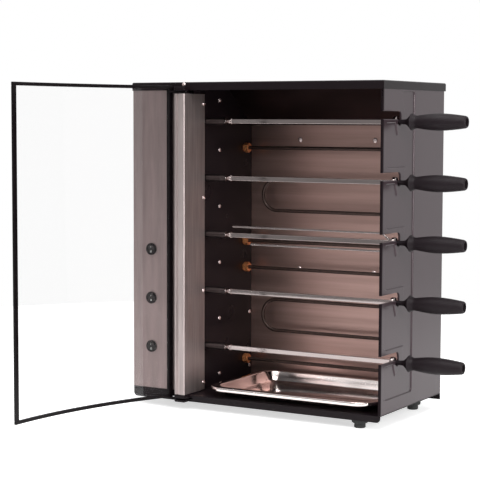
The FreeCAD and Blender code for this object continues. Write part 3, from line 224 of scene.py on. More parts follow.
class Coat(Nodes):
    """The nodes of one finish, whose patterns are fixed to the piece."""

    def __init__(self, made):
        super().__init__(made.node_tree)
        self.shader = self.tree.nodes["Principled BSDF"]

    def plain(self, base, metal, rough, **more):
        """Even values, which the shader's own sockets hold."""
        self.base = base
        values = {"Base Color": (*base, 1.0), "Metallic": metal, "Roughness": rough, **more}
        for socket, value in values.items():
            self.shader.inputs[socket.replace("_", " ")].default_value = value

    def grain(self, scale, stretch=(1.0, 1.0, 1.0), detail=3.0, blur=0.55):
        """Noise, drawn out along the axes whose stretch is small."""
        place = self.add("TexCoord").outputs["Object"]
        place = self.add("Mapping", Vector=place, Scale=stretch).outputs["Vector"]
        noise = self.add("TexNoise", Vector=place, Scale=scale, Detail=detail, Roughness=blur)
        return noise.outputs["Fac"]

    def roughen(self, pattern, low, high, start=0.3, end=0.7):
        """Varies the roughness between two limits by a pattern."""
        rough = self.ranged(pattern, low, high, start, end)
        self.feed(self.shader.inputs["Roughness"], rough)

    def shade(self, pattern, dark, light, start=0.3, end=0.7):
        """Varies the base colour between two shares of itself by a pattern."""
        ramp = self.add("ValToRGB", Fac=pattern)
        stops = zip(ramp.color_ramp.elements, (start, end), (dark, light))
        for stop, position, share in stops:
            stop.position = position
            stop.color = (*(min(1.0, value * share) for value in self.base), 1.0)
        self.feed(self.shader.inputs["Base Color"], ramp.outputs["Color"])

    def relief(self, pattern, depth, strength):
        """Raises and lowers the surface to the eye by a pattern."""
        bump = self.add("Bump", Height=pattern, Distance=depth, Strength=strength)
        self.feed(self.shader.inputs["Normal"], bump.outputs["Normal"])

    def paint_hem_shade(self, front, wide, paint, gloss):
        """Painted shade on a strip along a panel's front edge, with a short soft border: a dark
        colour with little gloss stands in for the shade on the rounded hem.
        """
        border = 0.0012
        colour_in = self.shader.inputs["Base Color"]
        gloss_in = self.shader.inputs["Specular IOR Level"]
        place = self.add("TexCoord").outputs["Object"]
        along = self.add("SeparateXYZ", Vector=place).outputs["Y"]
        # the strip gets the given dark colour and low gloss as painted shade; beyond it the panel
        # keeps its own coat
        unshaded = self.ranged(along, 0.0, 1.0, front + wide, front + wide + border)
        coated = colour_in.links[0].from_socket
        self.feed(colour_in, self.mix("Color", unshaded, (*paint, 1.0), coated))
        self.feed(gloss_in, self.ranged(unshaded, gloss, gloss_in.default_value, 0.0, 1.0))


def finish(build):
    """Makes a finish once, named like its function, and gives the same one after that."""
    name = build.__name__.replace("_", " ").capitalize()

    def made_once():
        made = bpy.data.materials.get(name)
        if made is None:
            made = bpy.data.materials.new(name)
            made.use_nodes = True
            build(Coat(made))
        return made

    return made_once


@finish
def black_enamel(coat):
    coat.plain(colours().enamel, metal=0.0, rough=0.3, Specular_IOR_Level=0.11)
    coat.roughen(coat.grain(16, detail=2.0), 0.27, 0.34)


@finish
def satin_panel_coat_with_hem_shade(coat):
    coat.plain(colours().panel, metal=0.0, rough=0.3, Specular_IOR_Level=0.38,
               Specular_Tint=(1.0, 0.86, 0.90, 1.0))
    coat.roughen(coat.grain(9, (1, 1, 0.4), detail=1.0), 0.28, 0.33, start=0.1, end=0.9)
    coat.shade(coat.grain(6, (1, 1, 0.3), detail=1.0), 0.92, 1.08, start=0.1, end=0.9)
    # painted shade on the front hem: the enamel's black with little gloss stands in for the dark
    # that the rounded hem mirrors
    coat.paint_hem_shade(PANEL_FRONT, wide=0.0030, paint=colours().enamel, gloss=0.06)


@finish
def brushed_stainless(coat):
    coat.plain(colours().stainless, metal=1.0, rough=0.45)
    streaks = coat.grain(900, (1, 1, 0.012), detail=4.0, blur=0.6)
    coat.roughen(streaks, 0.44, 0.56)
    coat.shade(coat.grain(90, (1, 1, 0.10), detail=4.0), 0.86, 1.12)
    coat.relief(streaks, depth=0.00001, strength=0.6)


@finish
def bright_stainless(coat):
    coat.plain(colours().bright, metal=1.0, rough=0.14)
    streaks = coat.grain(420, (1, 1, 0.02), detail=4.0, blur=0.6)
    coat.roughen(streaks, 0.42, 0.56)
    coat.shade(coat.grain(130, (1, 1, 0.06)), 0.82, 1.1)
    coat.relief(streaks, depth=0.000015, strength=0.5)


@finish
def reflector_sheet(coat):
    coat.plain(colours().reflector, metal=1.0, rough=0.42)
    coat.roughen(coat.grain(260, (0.02, 1, 1)), 0.33, 0.42)
    coat.shade(coat.grain(60, (0.03, 1, 1), detail=4.0, blur=0.6), 0.84, 1.14)
    coat.relief(coat.grain(8, detail=1.0), depth=0.0003, strength=0.2)


@finish
def heating_tube_scale(coat):
    coat.plain(colours().tube, metal=0.6, rough=0.36)
    mottle = coat.grain(240, detail=4.0)
    coat.roughen(mottle, 0.28, 0.46)
    coat.shade(mottle, 0.7, 1.25)


@finish
def gland_brass(coat):
    coat.plain(colours().copper, metal=0.75, rough=0.28)
    coat.shade(coat.grain(260), 0.75, 1.0)
    coat.roughen(coat.grain(500, detail=2.0), 0.2, 0.38)


@finish
def sintered_bronze(coat):
    coat.plain(colours().bronze, metal=1.0, rough=0.5)
    coat.shade(coat.grain(1200, detail=2.0), 0.7, 1.0)


@finish
def skewer_plating(coat):
    coat.plain(colours().chrome, metal=1.0, rough=0.16)
    drawn = coat.grain(700, (0.03, 1, 1))
    coat.roughen(drawn, 0.05, 0.13)
    coat.shade(drawn, 0.9, 1.08)
    coat.relief(drawn, depth=0.00001, strength=0.4)


@finish
def screw_plating(coat):
    coat.plain(colours().screw, metal=1.0, rough=0.25)
    coat.roughen(coat.grain(900, detail=2.0), 0.18, 0.34)


@finish
def socket_steel(coat):
    coat.plain(colours().socket, metal=1.0, rough=0.4)
    coat.roughen(coat.grain(260, (0.2, 1, 1)), 0.3, 0.46)


@finish
def smoked_steel(coat):
    coat.plain(colours().smoked, metal=1.0, rough=0.45)
    haze = coat.grain(14, (0.4, 1, 1))
    coat.roughen(haze, 0.38, 0.5)
    coat.shade(haze, 0.75, 1.3)


@finish
def tray_steel(coat):
    coat.plain(colours().tray, metal=1.0, rough=0.22)
    coat.roughen(coat.grain(300, (0.05, 1, 1)), 0.09, 0.16)
    coat.shade(coat.grain(12, detail=2.0), 0.9, 1.1)
    coat.relief(coat.grain(26, detail=1.0), depth=0.0006, strength=0.3)


@finish
def handle_moulding(coat):
    coat.plain(colours().grip, metal=0.0, rough=0.55, Specular_IOR_Level=0.17)
    coat.roughen(coat.grain(60), 0.46, 0.6)
    coat.relief(coat.grain(1700, detail=2.0), depth=0.00004, strength=0.35)


@finish
def foot_rubber(coat):
    coat.plain(colours().rubber, metal=0.0, rough=0.75)
    coat.roughen(coat.grain(500), 0.65, 0.85)
    coat.relief(coat.grain(1500, detail=2.0), depth=0.00005, strength=0.5)


@finish
def switch_moulding(coat):
    coat.plain(colours().plastic, metal=0.0, rough=0.18, Specular_IOR_Level=0.2)
    coat.roughen(coat.grain(300, detail=2.0), 0.13, 0.24)


@finish
def door_frame_paint(coat):
    coat.plain(colours().frame, metal=0.0, rough=0.32, Specular_IOR_Level=0.10)
    coat.roughen(coat.grain(80), 0.26, 0.38)
    coat.relief(coat.grain(1100, detail=1.0), depth=0.00002, strength=0.5)


@finish
def cut_steel(coat):
    coat.plain(colours().steel, metal=1.0, rough=0.34)
    mottle = coat.grain(180, detail=4.0)
    coat.roughen(mottle, 0.28, 0.44)
    coat.shade(mottle, 0.85, 1.1)


@finish
def zinc_plate(coat):
    coat.plain(colours().zinc, metal=0.9, rough=0.4)
    coat.shade(coat.grain(70), 0.85, 1.1)


@finish
def tempered_glass(coat):
    coat.plain(colours().glass, metal=0.0, rough=0.02, IOR=1.45, Alpha=0.04,
               Transmission_Weight=1.0, Specular_IOR_Level=0.5)
    coat.roughen(coat.grain(30, detail=2.0), 0.01, 0.03)


@finish
def letter_ink(coat):
    coat.plain(colours().letters, metal=0.2, rough=0.5)
    coat.roughen(coat.grain(900, detail=2.0), 0.4, 0.6)


@finish
def white_mark_paint(coat):
    coat.plain(colours().marks, metal=0.0, rough=0.5)
    coat.roughen(coat.grain(900, detail=2.0), 0.4, 0.6)


# ---------------------------------------------------------------- bench tools
def pick(*pieces):
    """Selects only these pieces; the last one is active."""
    clear_pick()
    for piece in pieces:
        piece.select_set(True)
    bpy.context.view_layer.objects.active = pieces[-1]


def clear_pick():
    for other in bpy.context.selected_objects:
        other.select_set(False)


def edit(everything=True):
    """Opens the active piece for editing, with all of it selected or as it was."""
    bpy.ops.object.mode_set(mode="EDIT")
    if everything:
        bpy.ops.mesh.select_all(action="SELECT")


def done():
    bpy.ops.object.mode_set(mode="OBJECT")


def into_scene(thing):
    bpy.context.scene.collection.objects.link(thing)


def rename(piece, name):
    piece.name = name
    piece.data.name = name
    return piece


def settle(piece, name):
    """Puts the piece's place into its mesh and names it."""
    pick(piece)
    bpy.ops.object.transform_apply(location=True, rotation=True, scale=True)
    return rename(piece, name)


def apply(piece, kind, **values):
    """Adds a modifier with these values and applies it."""
    pick(piece)
    change = piece.modifiers.new(kind.title(), kind)
    for key, value in values.items():
        setattr(change, key, value)
    bpy.ops.object.modifier_apply(modifier=change.name)


def smooth(piece, degrees=32):
    """Smooth shading, but across edges sharper than this."""
    pick(piece)
    bpy.ops.object.shade_smooth_by_angle(angle=math.radians(degrees))


def soften(piece, width, steps=2, degrees=28):
    """Rounds the sharp edges and keeps the flat faces flat to the eye."""
    apply(piece, "BEVEL", width=width, segments=steps, limit_method="ANGLE",
          angle_limit=math.radians(degrees), use_clamp_overlap=False, harden_normals=False)
    smooth(piece)
    apply(piece, "WEIGHTED_NORMAL", keep_sharp=True)


def face_out(piece):
    """Merges doubles and turns the faces of a closed piece outwards."""
    pick(piece)
    edit()
    bpy.ops.mesh.remove_doubles(threshold=PIECE_WELD)
    bpy.ops.mesh.normals_make_consistent(inside=False)
    done()


def choose_edges(piece, keys):
    """Selects only the edges between these pairs of corners, ready for edit mode."""
    pick(piece)
    edit(everything=False)
    bpy.ops.mesh.select_mode(type="EDGE")
    bpy.ops.mesh.select_all(action="DESELECT")
    done()
    for line in piece.data.edges:
        line.select = line.key in keys


def copy_of(node):
    """A merged copy of a solid's skin, for a finer edge than the solid has."""
    skin = bpy.data.objects.new(node + "_skin", frame["nodes"][node].data.copy())
    piece = rename(skin, node + "_skin")
    piece.data.materials.clear()
    into_scene(piece)
    pick(piece)
    bpy.ops.mesh.customdata_custom_splitnormals_clear()
    edit()
    bpy.ops.mesh.remove_doubles(threshold=SOLID_WELD)
    bpy.ops.mesh.dissolve_limited(angle_limit=FLAT)
    done()
    return piece


def twin(piece, name, matrix):
    """A copy with its own mesh, moved or turned into place."""
    other = rename(bpy.data.objects.new(name, piece.data.copy()), name)
    other.data.transform(matrix)
    into_scene(other)
    return other


def joined(pieces, name):
    """One piece made of several, which are used up."""
    pick(*pieces)
    if len(pieces) > 1:
        bpy.ops.object.join()
    return rename(bpy.context.view_layer.objects.active, name)


def fit(piece, material, slot, body, *nodes):
    """Gives a finished piece its finish and its body; the slot argument is not used."""
    piece.data.materials.clear()
    piece.data.materials.append(material)
    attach(piece, body)
    if nodes:
        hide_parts(*nodes)


def dress(node, material, slot, width=None, steps=2):
    """A solid's own form, with softened edges where a width is given, in its finish."""
    piece = copy_of(node)
    if width:
        soften(piece, width, steps)
    else:
        smooth(piece)
    fit(piece, material, slot, BODY_OF[node], node)


def shift_to(node):
    """The way from the X axis, where a piece is turned, to the axis of a node."""
    low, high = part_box(node)
    return Matrix.Translation((0, (low.y + high.y) / 2, (low.z + high.z) / 2))


def islands(node):
    """The lowest and the highest corner of each separate solid of a node."""
    mesh = bmesh.new()
    mesh.from_mesh(frame["nodes"][node].data)
    bmesh.ops.remove_doubles(mesh, verts=mesh.verts, dist=SOLID_WELD)
    seen = set()
    boxes = []
    for start in mesh.verts:
        if start in seen:
            continue
        seen.add(start)
        group, queue = [], [start]
        while queue:
            vert = queue.pop()
            group.append(vert.co.copy())
            near = {link.other_vert(vert) for link in vert.link_edges} - seen
            seen |= near
            queue += near
        boxes.append((Vector(map(min, *group)), Vector(map(max, *group))))
    mesh.free()
    return boxes


def round_face(name, sides, radius, place):
    """A round face across the X axis, opened for editing."""
    clear_pick()
    bpy.ops.mesh.primitive_circle_add(
        vertices=sides, radius=radius, fill_type="NGON",
        location=place, rotation=(0, math.pi / 2, 0),
    )
    piece = settle(bpy.context.object, name)
    edit()
    return piece


def turned(name, stations, sides, hollow=0.0):
    """A piece turned about X from stations and radii; its far end may be dished."""
    dish_rim, dish_slope = 0.14, 0.06   # shares of the end's radius
    before, radius = stations[0]
    piece = round_face(name, sides, radius, (before, 0, 0))
    for station, wide in stations[1:]:
        bpy.ops.mesh.extrude_region_move(
            TRANSFORM_OT_translate={"value": (station - before, 0, 0)})
        share = wide / radius
        bpy.ops.transform.resize(value=(1, share, share), center_override=(station, 0, 0))
        before, radius = station, wide
    if hollow:
        bpy.ops.mesh.inset(thickness=radius * dish_rim, depth=0)
        bpy.ops.mesh.inset(thickness=radius * dish_slope, depth=-hollow)
    done()
    face_out(piece)
    return piece


def spun_ring(name, middle, half_wide, half_high, sides, steps):
    """A ring about Y at the origin, spun from a flattened round section."""
    clear_pick()
    bpy.ops.mesh.primitive_circle_add(vertices=sides, radius=1.0, fill_type="NOTHING")
    piece = settle(bpy.context.object, name)
    edit()
    bpy.ops.transform.resize(value=(half_wide, half_high, 1), center_override=(0, 0, 0))
    bpy.ops.transform.translate(value=(middle, 0, 0))
    bpy.ops.mesh.spin(steps=steps, angle=math.tau, axis=(0, 1, 0), center=(0, 0, 0))
    done()
    face_out(piece)
    return piece


def text_plate(words, height, thickness, place):
    """Flat letters that lie on the column, facing -Y."""
    clear_pick()
    bpy.ops.object.text_add(location=place, rotation=(math.pi / 2, 0, 0))
    letters = bpy.context.object
    letters.data.body = words
    letters.data.size = height
    letters.data.extrude = thickness
    letters.data.align_x = "CENTER"
    letters.data.align_y = "CENTER"
    letters.data.resolution_u = 3
    bpy.ops.object.convert(target="MESH")
    return settle(bpy.context.object, "letters_" + words.lower())


# ---------------------------------------------------------------- pieces
class GRILL_OT_cabinet(bpy.types.Operator):
    """Enamelled base and cover, the side panels and the brushed column"""
    bl_idname = "grill.cabinet"
    bl_label = "Cabinet"

    # how deep the panel's walls go inwards: at the slots and the hem, and at the comb
    rim_depths = (0.0035, 0.0080)
    step_depths = (0.0018, 0.0022)

    def round_shoulder(self, piece, depths, width, steps):
        """Rounds the outer edge of the walls that go inwards between these depths."""
        near_face, outwards, upright = 0.0001, 0.9, 0.1
        least, most = depths
        points = piece.data.vertices
        walls = {}
        for face in piece.data.polygons:
            deep = PANEL_FACE - min(points[index].co.x for index in face.vertices)
            for key in face.edge_keys:
                walls.setdefault(key, []).append((face.normal.x, deep))
        edges = set()
        for key, sides in walls.items():
            flush = all(abs(points[index].co.x - PANEL_FACE) < near_face for index in key)
            outer = any(across > outwards for across, deep in sides)
            wall = any(abs(across) < upright and least < deep < most for across, deep in sides)
            if flush and outer and wall:
                edges.add(key)
        if not edges:
            raise RuntimeError("the side panel has no walls of this depth")
        choose_edges(piece, edges)
        edit(everything=False)
        bpy.ops.mesh.bevel(offset=width, segments=steps, affect="EDGES", clamp_overlap=False)
        done()

    def press_panel(self, coating):
        """The side panel with rolled shoulders along its pressed comb and its slots."""
        own = sizes()
        node = "right_side_panel"
        piece = copy_of(node)
        self.round_shoulder(piece, self.rim_depths, own.rim_round, steps=4)
        self.round_shoulder(piece, self.step_depths, own.step_round, steps=1)
        soften(piece, own.press_round, degrees=40)
        fit(piece, coating, "panel_grey", "cabinet", node)

    def execute(self, context):
        own = sizes()
        for node in ("base_pan", "top_cover", "rear_cover"):
            dress(node, black_enamel(), "black_enamel", own.sheet_round)
        self.press_panel(satin_panel_coat_with_hem_shade())
        dress("left_side_panel", satin_panel_coat_with_hem_shade(), "panel_grey", own.sheet_round)
        dress("column_front", brushed_stainless(), "brushed_stainless", own.sheet_round)
        return {"FINISHED"}


class GRILL_OT_chamber(bpy.types.Operator):
    """Wall, bright post, reflector and hood plate of the cooking chamber"""
    bl_idname = "grill.chamber"
    bl_label = "Chamber"

    def execute(self, context):
        own = sizes()
        dress("chamber_side_wall", black_enamel(), "black_enamel", own.sheet_round)
        dress("corner_post", bright_stainless(), "brushed_stainless", own.fine_round)
        dress("back_reflector", reflector_sheet(), "reflector_steel", own.sheet_round)
        dress("hood_deflector", smoked_steel(), "reflector_steel", own.sheet_round)
        return {"FINISHED"}


class GRILL_OT_hinges(bpy.types.Operator):
    """Moulded blocks at the ends of the post that carry the door"""
    bl_idname = "grill.hinges"
    bl_label = "Hinge blocks"

    def execute(self, context):
        for node in ("upper_hinge_block", "lower_hinge_block"):
            dress(node, black_enamel(), "black_enamel", sizes().block_round, steps=3)
        return {"FINISHED"}


class GRILL_OT_elements(bpy.types.Operator):
    """Bent heating tubes with their gland nuts and stand-off clips"""
    bl_idname = "grill.elements"
    bl_label = "Heating elements"

    runs, sides, bend_steps = 4, 20, 18

    def bend_tube(self, node):
        """A round tube in the place of a solid's six-sided one, bent from run to run."""
        own = sizes()
        low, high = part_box(node)
        flat = (high.y - low.y) / 2
        corner = flat / math.cos(math.pi / 6)
        middle_y = (low.y + high.y) / 2
        top = high.z - corner
        bend = (top - low.z - corner) / (2 * (self.runs - 1))
        far = high.x - flat - bend
        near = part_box("chamber_side_wall")[1].x + own.tube_gap + bend
        tube = round_face(node + "_tube", self.sides, own.tube_radius, (low.x, middle_y, top))
        here, height = low.x, top
        for turn_x, side in ((far, 1), (near, -1), (far, 1)):
            bpy.ops.mesh.extrude_region_move(
                TRANSFORM_OT_translate={"value": (turn_x - here, 0, 0)})
            bpy.ops.mesh.spin(
                steps=self.bend_steps, angle=-math.pi * side, axis=(0, 1, 0),
                center=(turn_x, middle_y, height - bend),
            )
            here, height = turn_x, height - bend * 2
        bpy.ops.mesh.extrude_region_move(TRANSFORM_OT_translate={"value": (low.x - here, 0, 0)})
        done()
        face_out(tube)
        smooth(tube, degrees=40)
        fit(tube, heating_tube_scale(), "element_steel", BODY_OF[node], node)

    def execute(self, context):
        self.bend_tube("upper_heating_element")
        self.bend_tube("lower_heating_element")
        dress("element_nuts", gland_brass(), "brass", sizes().nut_round)
        dress("element_clips", screw_plating(), "chrome", sizes().fine_round)
        return {"FINISHED"}


class GRILL_OT_skewers(bpy.types.Operator):
    """Plated skewers in their drive sockets, and the two side prongs"""
    bl_idname = "grill.skewers"
    bl_label = "Skewers"

    ring_sides = 32
    # from the drive socket's end on to the ring, and back to the two sides of its ridge
    ring_gap, ridge_start, ridge_end = 0.010, 0.0125, 0.0095
    # from the handle back to the middle of the collar
    collar_gap = 0.00375

    def make_ring(self, name, middle, half, radius, edge):
        """A turned ring on the skewer's axis, with its edges cut off in two steps."""
        near, far, cut = middle - half, middle + half, edge * 0.3
        ring = turned(name, [
            (near, radius - edge), (near + cut, radius - cut), (near + edge, radius),
            (far - edge, radius), (far - cut, radius - cut), (far, radius - edge),
        ], self.ring_sides)
        smooth(ring)
        return ring

    def make_ridge(self, near, far, radius):
        """A low ridge around the drive socket, with sloping sides."""
        high, slope = 0.0004, 0.0005
        ridge = turned("socket_ridge", [
            (near, radius), (near + slope, radius + high),
            (far - slope, radius + high), (far, radius),
        ], self.ring_sides)
        smooth(ridge)
        return ridge

    def execute(self, context):
        own = sizes()
        low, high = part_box("drive_socket_1")
        tube_end = high.x
        ring = self.make_ring("skewer_ring", tube_end + self.ring_gap, half=0.0031,
                              radius=own.ring_radius, edge=0.0008)
        collar = self.make_ring("skewer_collar", HANDLE_START - self.collar_gap, half=0.0037,
                                radius=own.collar_radius, edge=0.0010)
        ridge = self.make_ridge(tube_end - self.ridge_start, tube_end - self.ridge_end,
                                (high.z - low.z) / 2)
        for row in SPITS:
            body = "spit_%d" % row
            socket = "drive_socket_%d" % row
            place = shift_to(socket)
            dress("skewer_%d" % row, skewer_plating(), "chrome", own.blade_round, steps=3)
            dress(socket, socket_steel(), "chrome", own.part_round, steps=3)
            for part, label, plating in (
                (ring, "skewer_ring", skewer_plating()),
                (collar, "skewer_collar", skewer_plating()),
                (ridge, "socket_ridge", socket_steel()),
            ):
                fit(twin(part, "%s_%d" % (label, row), place), plating, "chrome", body)
        for part in (ring, collar, ridge):
            bpy.data.objects.remove(part)
        dress("twin_prong_fork", skewer_plating(), "chrome", own.prong_round, steps=3)
        return {"FINISHED"}


class GRILL_OT_handles(bpy.types.Operator):
    """Turned black handles with a flared guard and a dished end"""
    bl_idname = "grill.handles"
    bl_label = "Handles"

    # places along the handle, from where it starts
    neck_even, neck_end, guard_place, throat_place = 0.0150, 0.0195, 0.0325, 0.0435
    neck_swell, throat_radius, dish = 0.0006, 0.0125, 0.0050
    rim_drop, rim_half = 0.0012, 0.0005   # of the guard's rim, where the flare meets it

    def neck(self, own):
        """The slender neck, swelling a little before it flares."""
        swelled = own.neck_radius + self.neck_swell
        start = HANDLE_START + self.neck_end
        long = HANDLE_START + self.guard_place - self.rim_half - start
        rise = own.guard_radius - self.rim_drop - own.neck_radius
        flare = 1.15   # how late the neck flares
        stations = [
            (HANDLE_START, own.neck_radius),
            (HANDLE_START + self.neck_even, own.neck_radius),
            (start, swelled),
        ]
        for share in (0.25, 0.5, 0.75):
            stations.append((start + long * share, swelled + rise * share ** flare))
        return stations

    def guard(self, own):
        """The guard's thin rounded rim, and the hollow that runs from it to the grip."""
        rim = HANDLE_START + self.guard_place
        behind, edge = rim + 0.0009, own.guard_radius - 0.0006
        long = HANDLE_START + self.throat_place - behind
        drop = edge - self.throat_radius
        stations = [
            (rim - 0.0012, own.guard_radius - 0.0005),
            (rim - 0.0002, own.guard_radius),
            (behind, edge),
        ]
        for share in (0.3, 0.6, 0.85, 1.0):
            stations.append((behind + long * share, edge - drop * math.sin(share * math.pi / 2)))
        return stations

    def grip(self, own):
        """The grip, which swells to its widest place and narrows to its end."""
        widest, taper = 0.46, 1.6   # a share of the grip's length, and how late it narrows
        first, last = self.throat_radius, 0.0117
        throat = HANDLE_START + self.throat_place
        stations = []
        for share in (0.06, 0.14, 0.24, 0.35, 0.46, 0.58, 0.70, 0.82, 0.92, 0.965):
            if share < widest:
                rise = math.sin(share / widest * math.pi / 2)
                radius = first + (own.grip_radius - first) * rise
            else:
                fall = ((share - widest) / (1 - widest)) ** taper
                radius = own.grip_radius - (own.grip_radius - last) * fall
            stations.append((throat + (HANDLE_END - throat) * share, radius))
        for back, radius in ((0.0016, 0.0114), (0.0004, 0.0106), (0.0, 0.0096)):
            stations.append((HANDLE_END - back, radius))
        return stations

    def execute(self, context):
        own = sizes()
        stations = self.neck(own) + self.guard(own) + self.grip(own)
        model = turned("handle_model", stations, own.round_sides, hollow=self.dish)
        smooth(model, degrees=50)
        for row in SPITS:
            node = "handle_%d" % row
            piece = twin(model, "handle_grip_%d" % row, shift_to(node))
            fit(piece, handle_moulding(), "handle_black", "spit_%d" % row, node)
        bpy.data.objects.remove(model)
        return {"FINISHED"}


class GRILL_OT_drive(bpy.types.Operator):
    """Gear train, bearing plate, bushes and motor behind the chamber wall"""
    bl_idname = "grill.drive"
    bl_label = "Drive"

    def execute(self, context):
        own = sizes()
        gears = ["spit_gear_%d" % row for row in SPITS]
        gears += ["idler_gear_%d" % row for row in IDLERS]
        for node in (*gears, "motor_pinion"):
            dress(node, cut_steel(), "gear_steel", own.fine_round)
        dress("idler_axles", cut_steel(), "gear_steel")
        dress("gear_plate", cut_steel(), "gear_steel", own.fine_round)
        dress("spindle_bushes", sintered_bronze(), "bronze", own.bush_round)
        dress("gear_motor", zinc_plate(), "motor_steel", own.motor_round, steps=3)
        return {"FINISHED"}


class GRILL_OT_switches(bpy.types.Operator):
    """Round rocker switches with their rims, rockers and marks"""
    bl_idname = "grill.switches"
    bl_label = "Switches"

    def execute(self, context):
        own = sizes()
        rim_out, letter_thick = 0.0012, 0.00004
        dress("switch_bodies", switch_moulding(), "switch_black", own.fine_round)
        rim = spun_ring("switch_rim", own.bezel_radius, half_wide=0.00118, half_high=0.00130,
                        sides=16, steps=48)
        rims = []
        letters = []
        for row in SWITCHES:
            node = "switch_rocker_%d" % row
            low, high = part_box(node)
            centre = (low + high) / 2
            dress(node, switch_moulding(), "switch_black", own.part_round, steps=3)
            place = Matrix.Translation((centre.x, COLUMN_FACE - rim_out, centre.z))
            rims.append(twin(rim, "switch_rim_%d" % row, place))
            for words, up in (("ON", own.mark_gap), ("OFF", -own.mark_gap)):
                spot = (centre.x, COLUMN_FACE, centre.z + up)
                letters.append(text_plate(words, own.mark_height, letter_thick, spot))
            self.make_marks(row, centre)
        bpy.data.objects.remove(rim)
        rims = joined(rims, "switch_rims")
        smooth(rims, degrees=60)
        fit(rims, switch_moulding(), "switch_black", "cabinet")
        fit(joined(letters, "switch_letters"), letter_ink(), "switch_black", "cabinet")
        return {"FINISHED"}

    def make_marks(self, row, centre):
        """A bar and a ring inlaid in the two halves of the rocker."""
        up, half, taper, thick, thin = 0.0052, 0.0018, 0.0002, 0.00032, 0.00016
        ring = spun_ring("rocker_ring", 0.0017, half_wide=0.00036, half_high=0.00026,
                         sides=8, steps=24)
        bar = turned("rocker_bar", [
            (-half, thin), (-half + taper, thick), (half - taper, thick), (half, thin),
        ], sides=10)
        bar.data.transform(Matrix.Rotation(math.pi / 2, 4, "Y"))
        rocker = bpy.data.objects["switch_rocker_%d_skin" % row]
        for part, height in ((bar, up), (ring, -up)):
            spot = self.face_at(rocker, centre.x, centre.z + height)
            part.data.transform(Matrix.Translation(spot))
        marks = joined([ring, bar], "rocker_marks_%d" % row)
        smooth(marks, degrees=60)
        fit(marks, white_mark_paint(), "switch_black", "rocker_%d" % row)

    def face_at(self, piece, x, z):
        """The point of the piece's front face at a place, a hair below its surface."""
        before, hair = -1.0, 0.00012
        found, spot, normal, index = piece.ray_cast(Vector((x, before, z)), Vector((0, 1, 0)))
        if not found:
            raise RuntimeError("no rocker face at %.4f, %.4f" % (x, z))
        return spot + Vector((0, hair, 0))


class GRILL_OT_inlet(bpy.types.Operator):
    """Cord gland in the rear cover"""
    bl_idname = "grill.inlet"
    bl_label = "Cord gland"

    def execute(self, context):
        dress("power_inlet", switch_moulding(), "switch_black", sizes().nut_round, steps=3)
        return {"FINISHED"}


class GRILL_OT_screws(bpy.types.Operator):
    """Domed cross-head screws of the chamber, the post and the cover"""
    bl_idname = "grill.screws"
    bl_label = "Screws"

    reflector_share = 1.3   # how much wider the heads in the reflector are
    turn_step = 37          # degrees from one head's cross to the next

    def model(self):
        """One screw head at the origin that faces +X."""
        own = sizes()
        radius, dome, rim, steps = own.screw_radius, own.screw_dome, 0.0003, 7
        foot, deep, wide, long = 0.97, 0.9, 0.28, 1.1   # shares of the radius and the dome
        stations = [(0.0, radius * foot), (rim, radius)]
        for step in range(1, steps):
            angle = step * math.pi / 2 / steps
            stations.append((rim + (dome - rim) * math.sin(angle), radius * math.cos(angle)))
        head = turned("screw_head", stations, sides=24)
        for turn in (0, math.pi / 2):
            clear_pick()
            bpy.ops.mesh.primitive_cube_add(
                size=1, location=(dome, 0, 0), rotation=(turn, 0, 0),
                scale=(dome * deep, radius * wide, radius * long),
            )
            cross = settle(bpy.context.object, "cross")
            apply(head, "BOOLEAN", operation="DIFFERENCE", object=cross, solver="EXACT")
            bpy.data.objects.remove(cross)
        smooth(head, degrees=35)
        return head

    def execute(self, context):
        head = self.model()
        towards_front = Matrix.Rotation(-math.pi / 2, 4, "Z")
        pieces = []
        for number, (low, high) in enumerate(islands("chamber_screws")):
            centre = (low + high) / 2
            twist = Matrix.Rotation(math.radians(self.turn_step * number % 90), 4, "X")
            if high.x - low.x < high.y - low.y:
                place = Matrix.Translation((low.x, centre.y, centre.z)) @ twist
            else:
                share = self.reflector_share if centre.y > 0 else 1.0
                wide = Matrix.Diagonal((1.0, share, share, 1.0))
                seat = Matrix.Translation((centre.x, high.y, centre.z))
                place = seat @ towards_front @ twist @ wide
            pieces.append(twin(head, "screw_%d" % number, place))
        bpy.data.objects.remove(head)
        screws = joined(pieces, "cross_head_screws")
        fit(screws, screw_plating(), "chrome", "cabinet", "chamber_screws")
        return {"FINISHED"}


class GRILL_OT_feet(bpy.types.Operator):
    """Turned rubber feet"""
    bl_idname = "grill.feet"
    bl_label = "Feet"

    def execute(self, context):
        # heights above the floor and radii: the round pad, and the wider plate on it
        pad = [(0.0, 0.0100), (0.0006, 0.0112), (0.0018, 0.0117), (0.0085, 0.0114),
               (0.0098, 0.0112)]
        plate = [(0.0102, 0.0150), (0.0112, 0.0163), (0.0130, 0.0166),
                 (FOOT_TOP - 0.0012, 0.0166), (FOOT_TOP, 0.0160)]
        model = turned("foot_model", pad + plate, sizes().round_sides)
        model.data.transform(Matrix.Rotation(-math.pi / 2, 4, "Y"))
        smooth(model, degrees=40)
        pieces = []
        for number, (low, high) in enumerate(islands("feet")):
            centre = (low + high) / 2
            place = Matrix.Translation((centre.x, centre.y, low.z))
            pieces.append(twin(model, "foot_%d" % number, place))
        bpy.data.objects.remove(model)
        fit(joined(pieces, "rubber_feet"), foot_rubber(), "rubber", "cabinet", "feet")
        return {"FINISHED"}


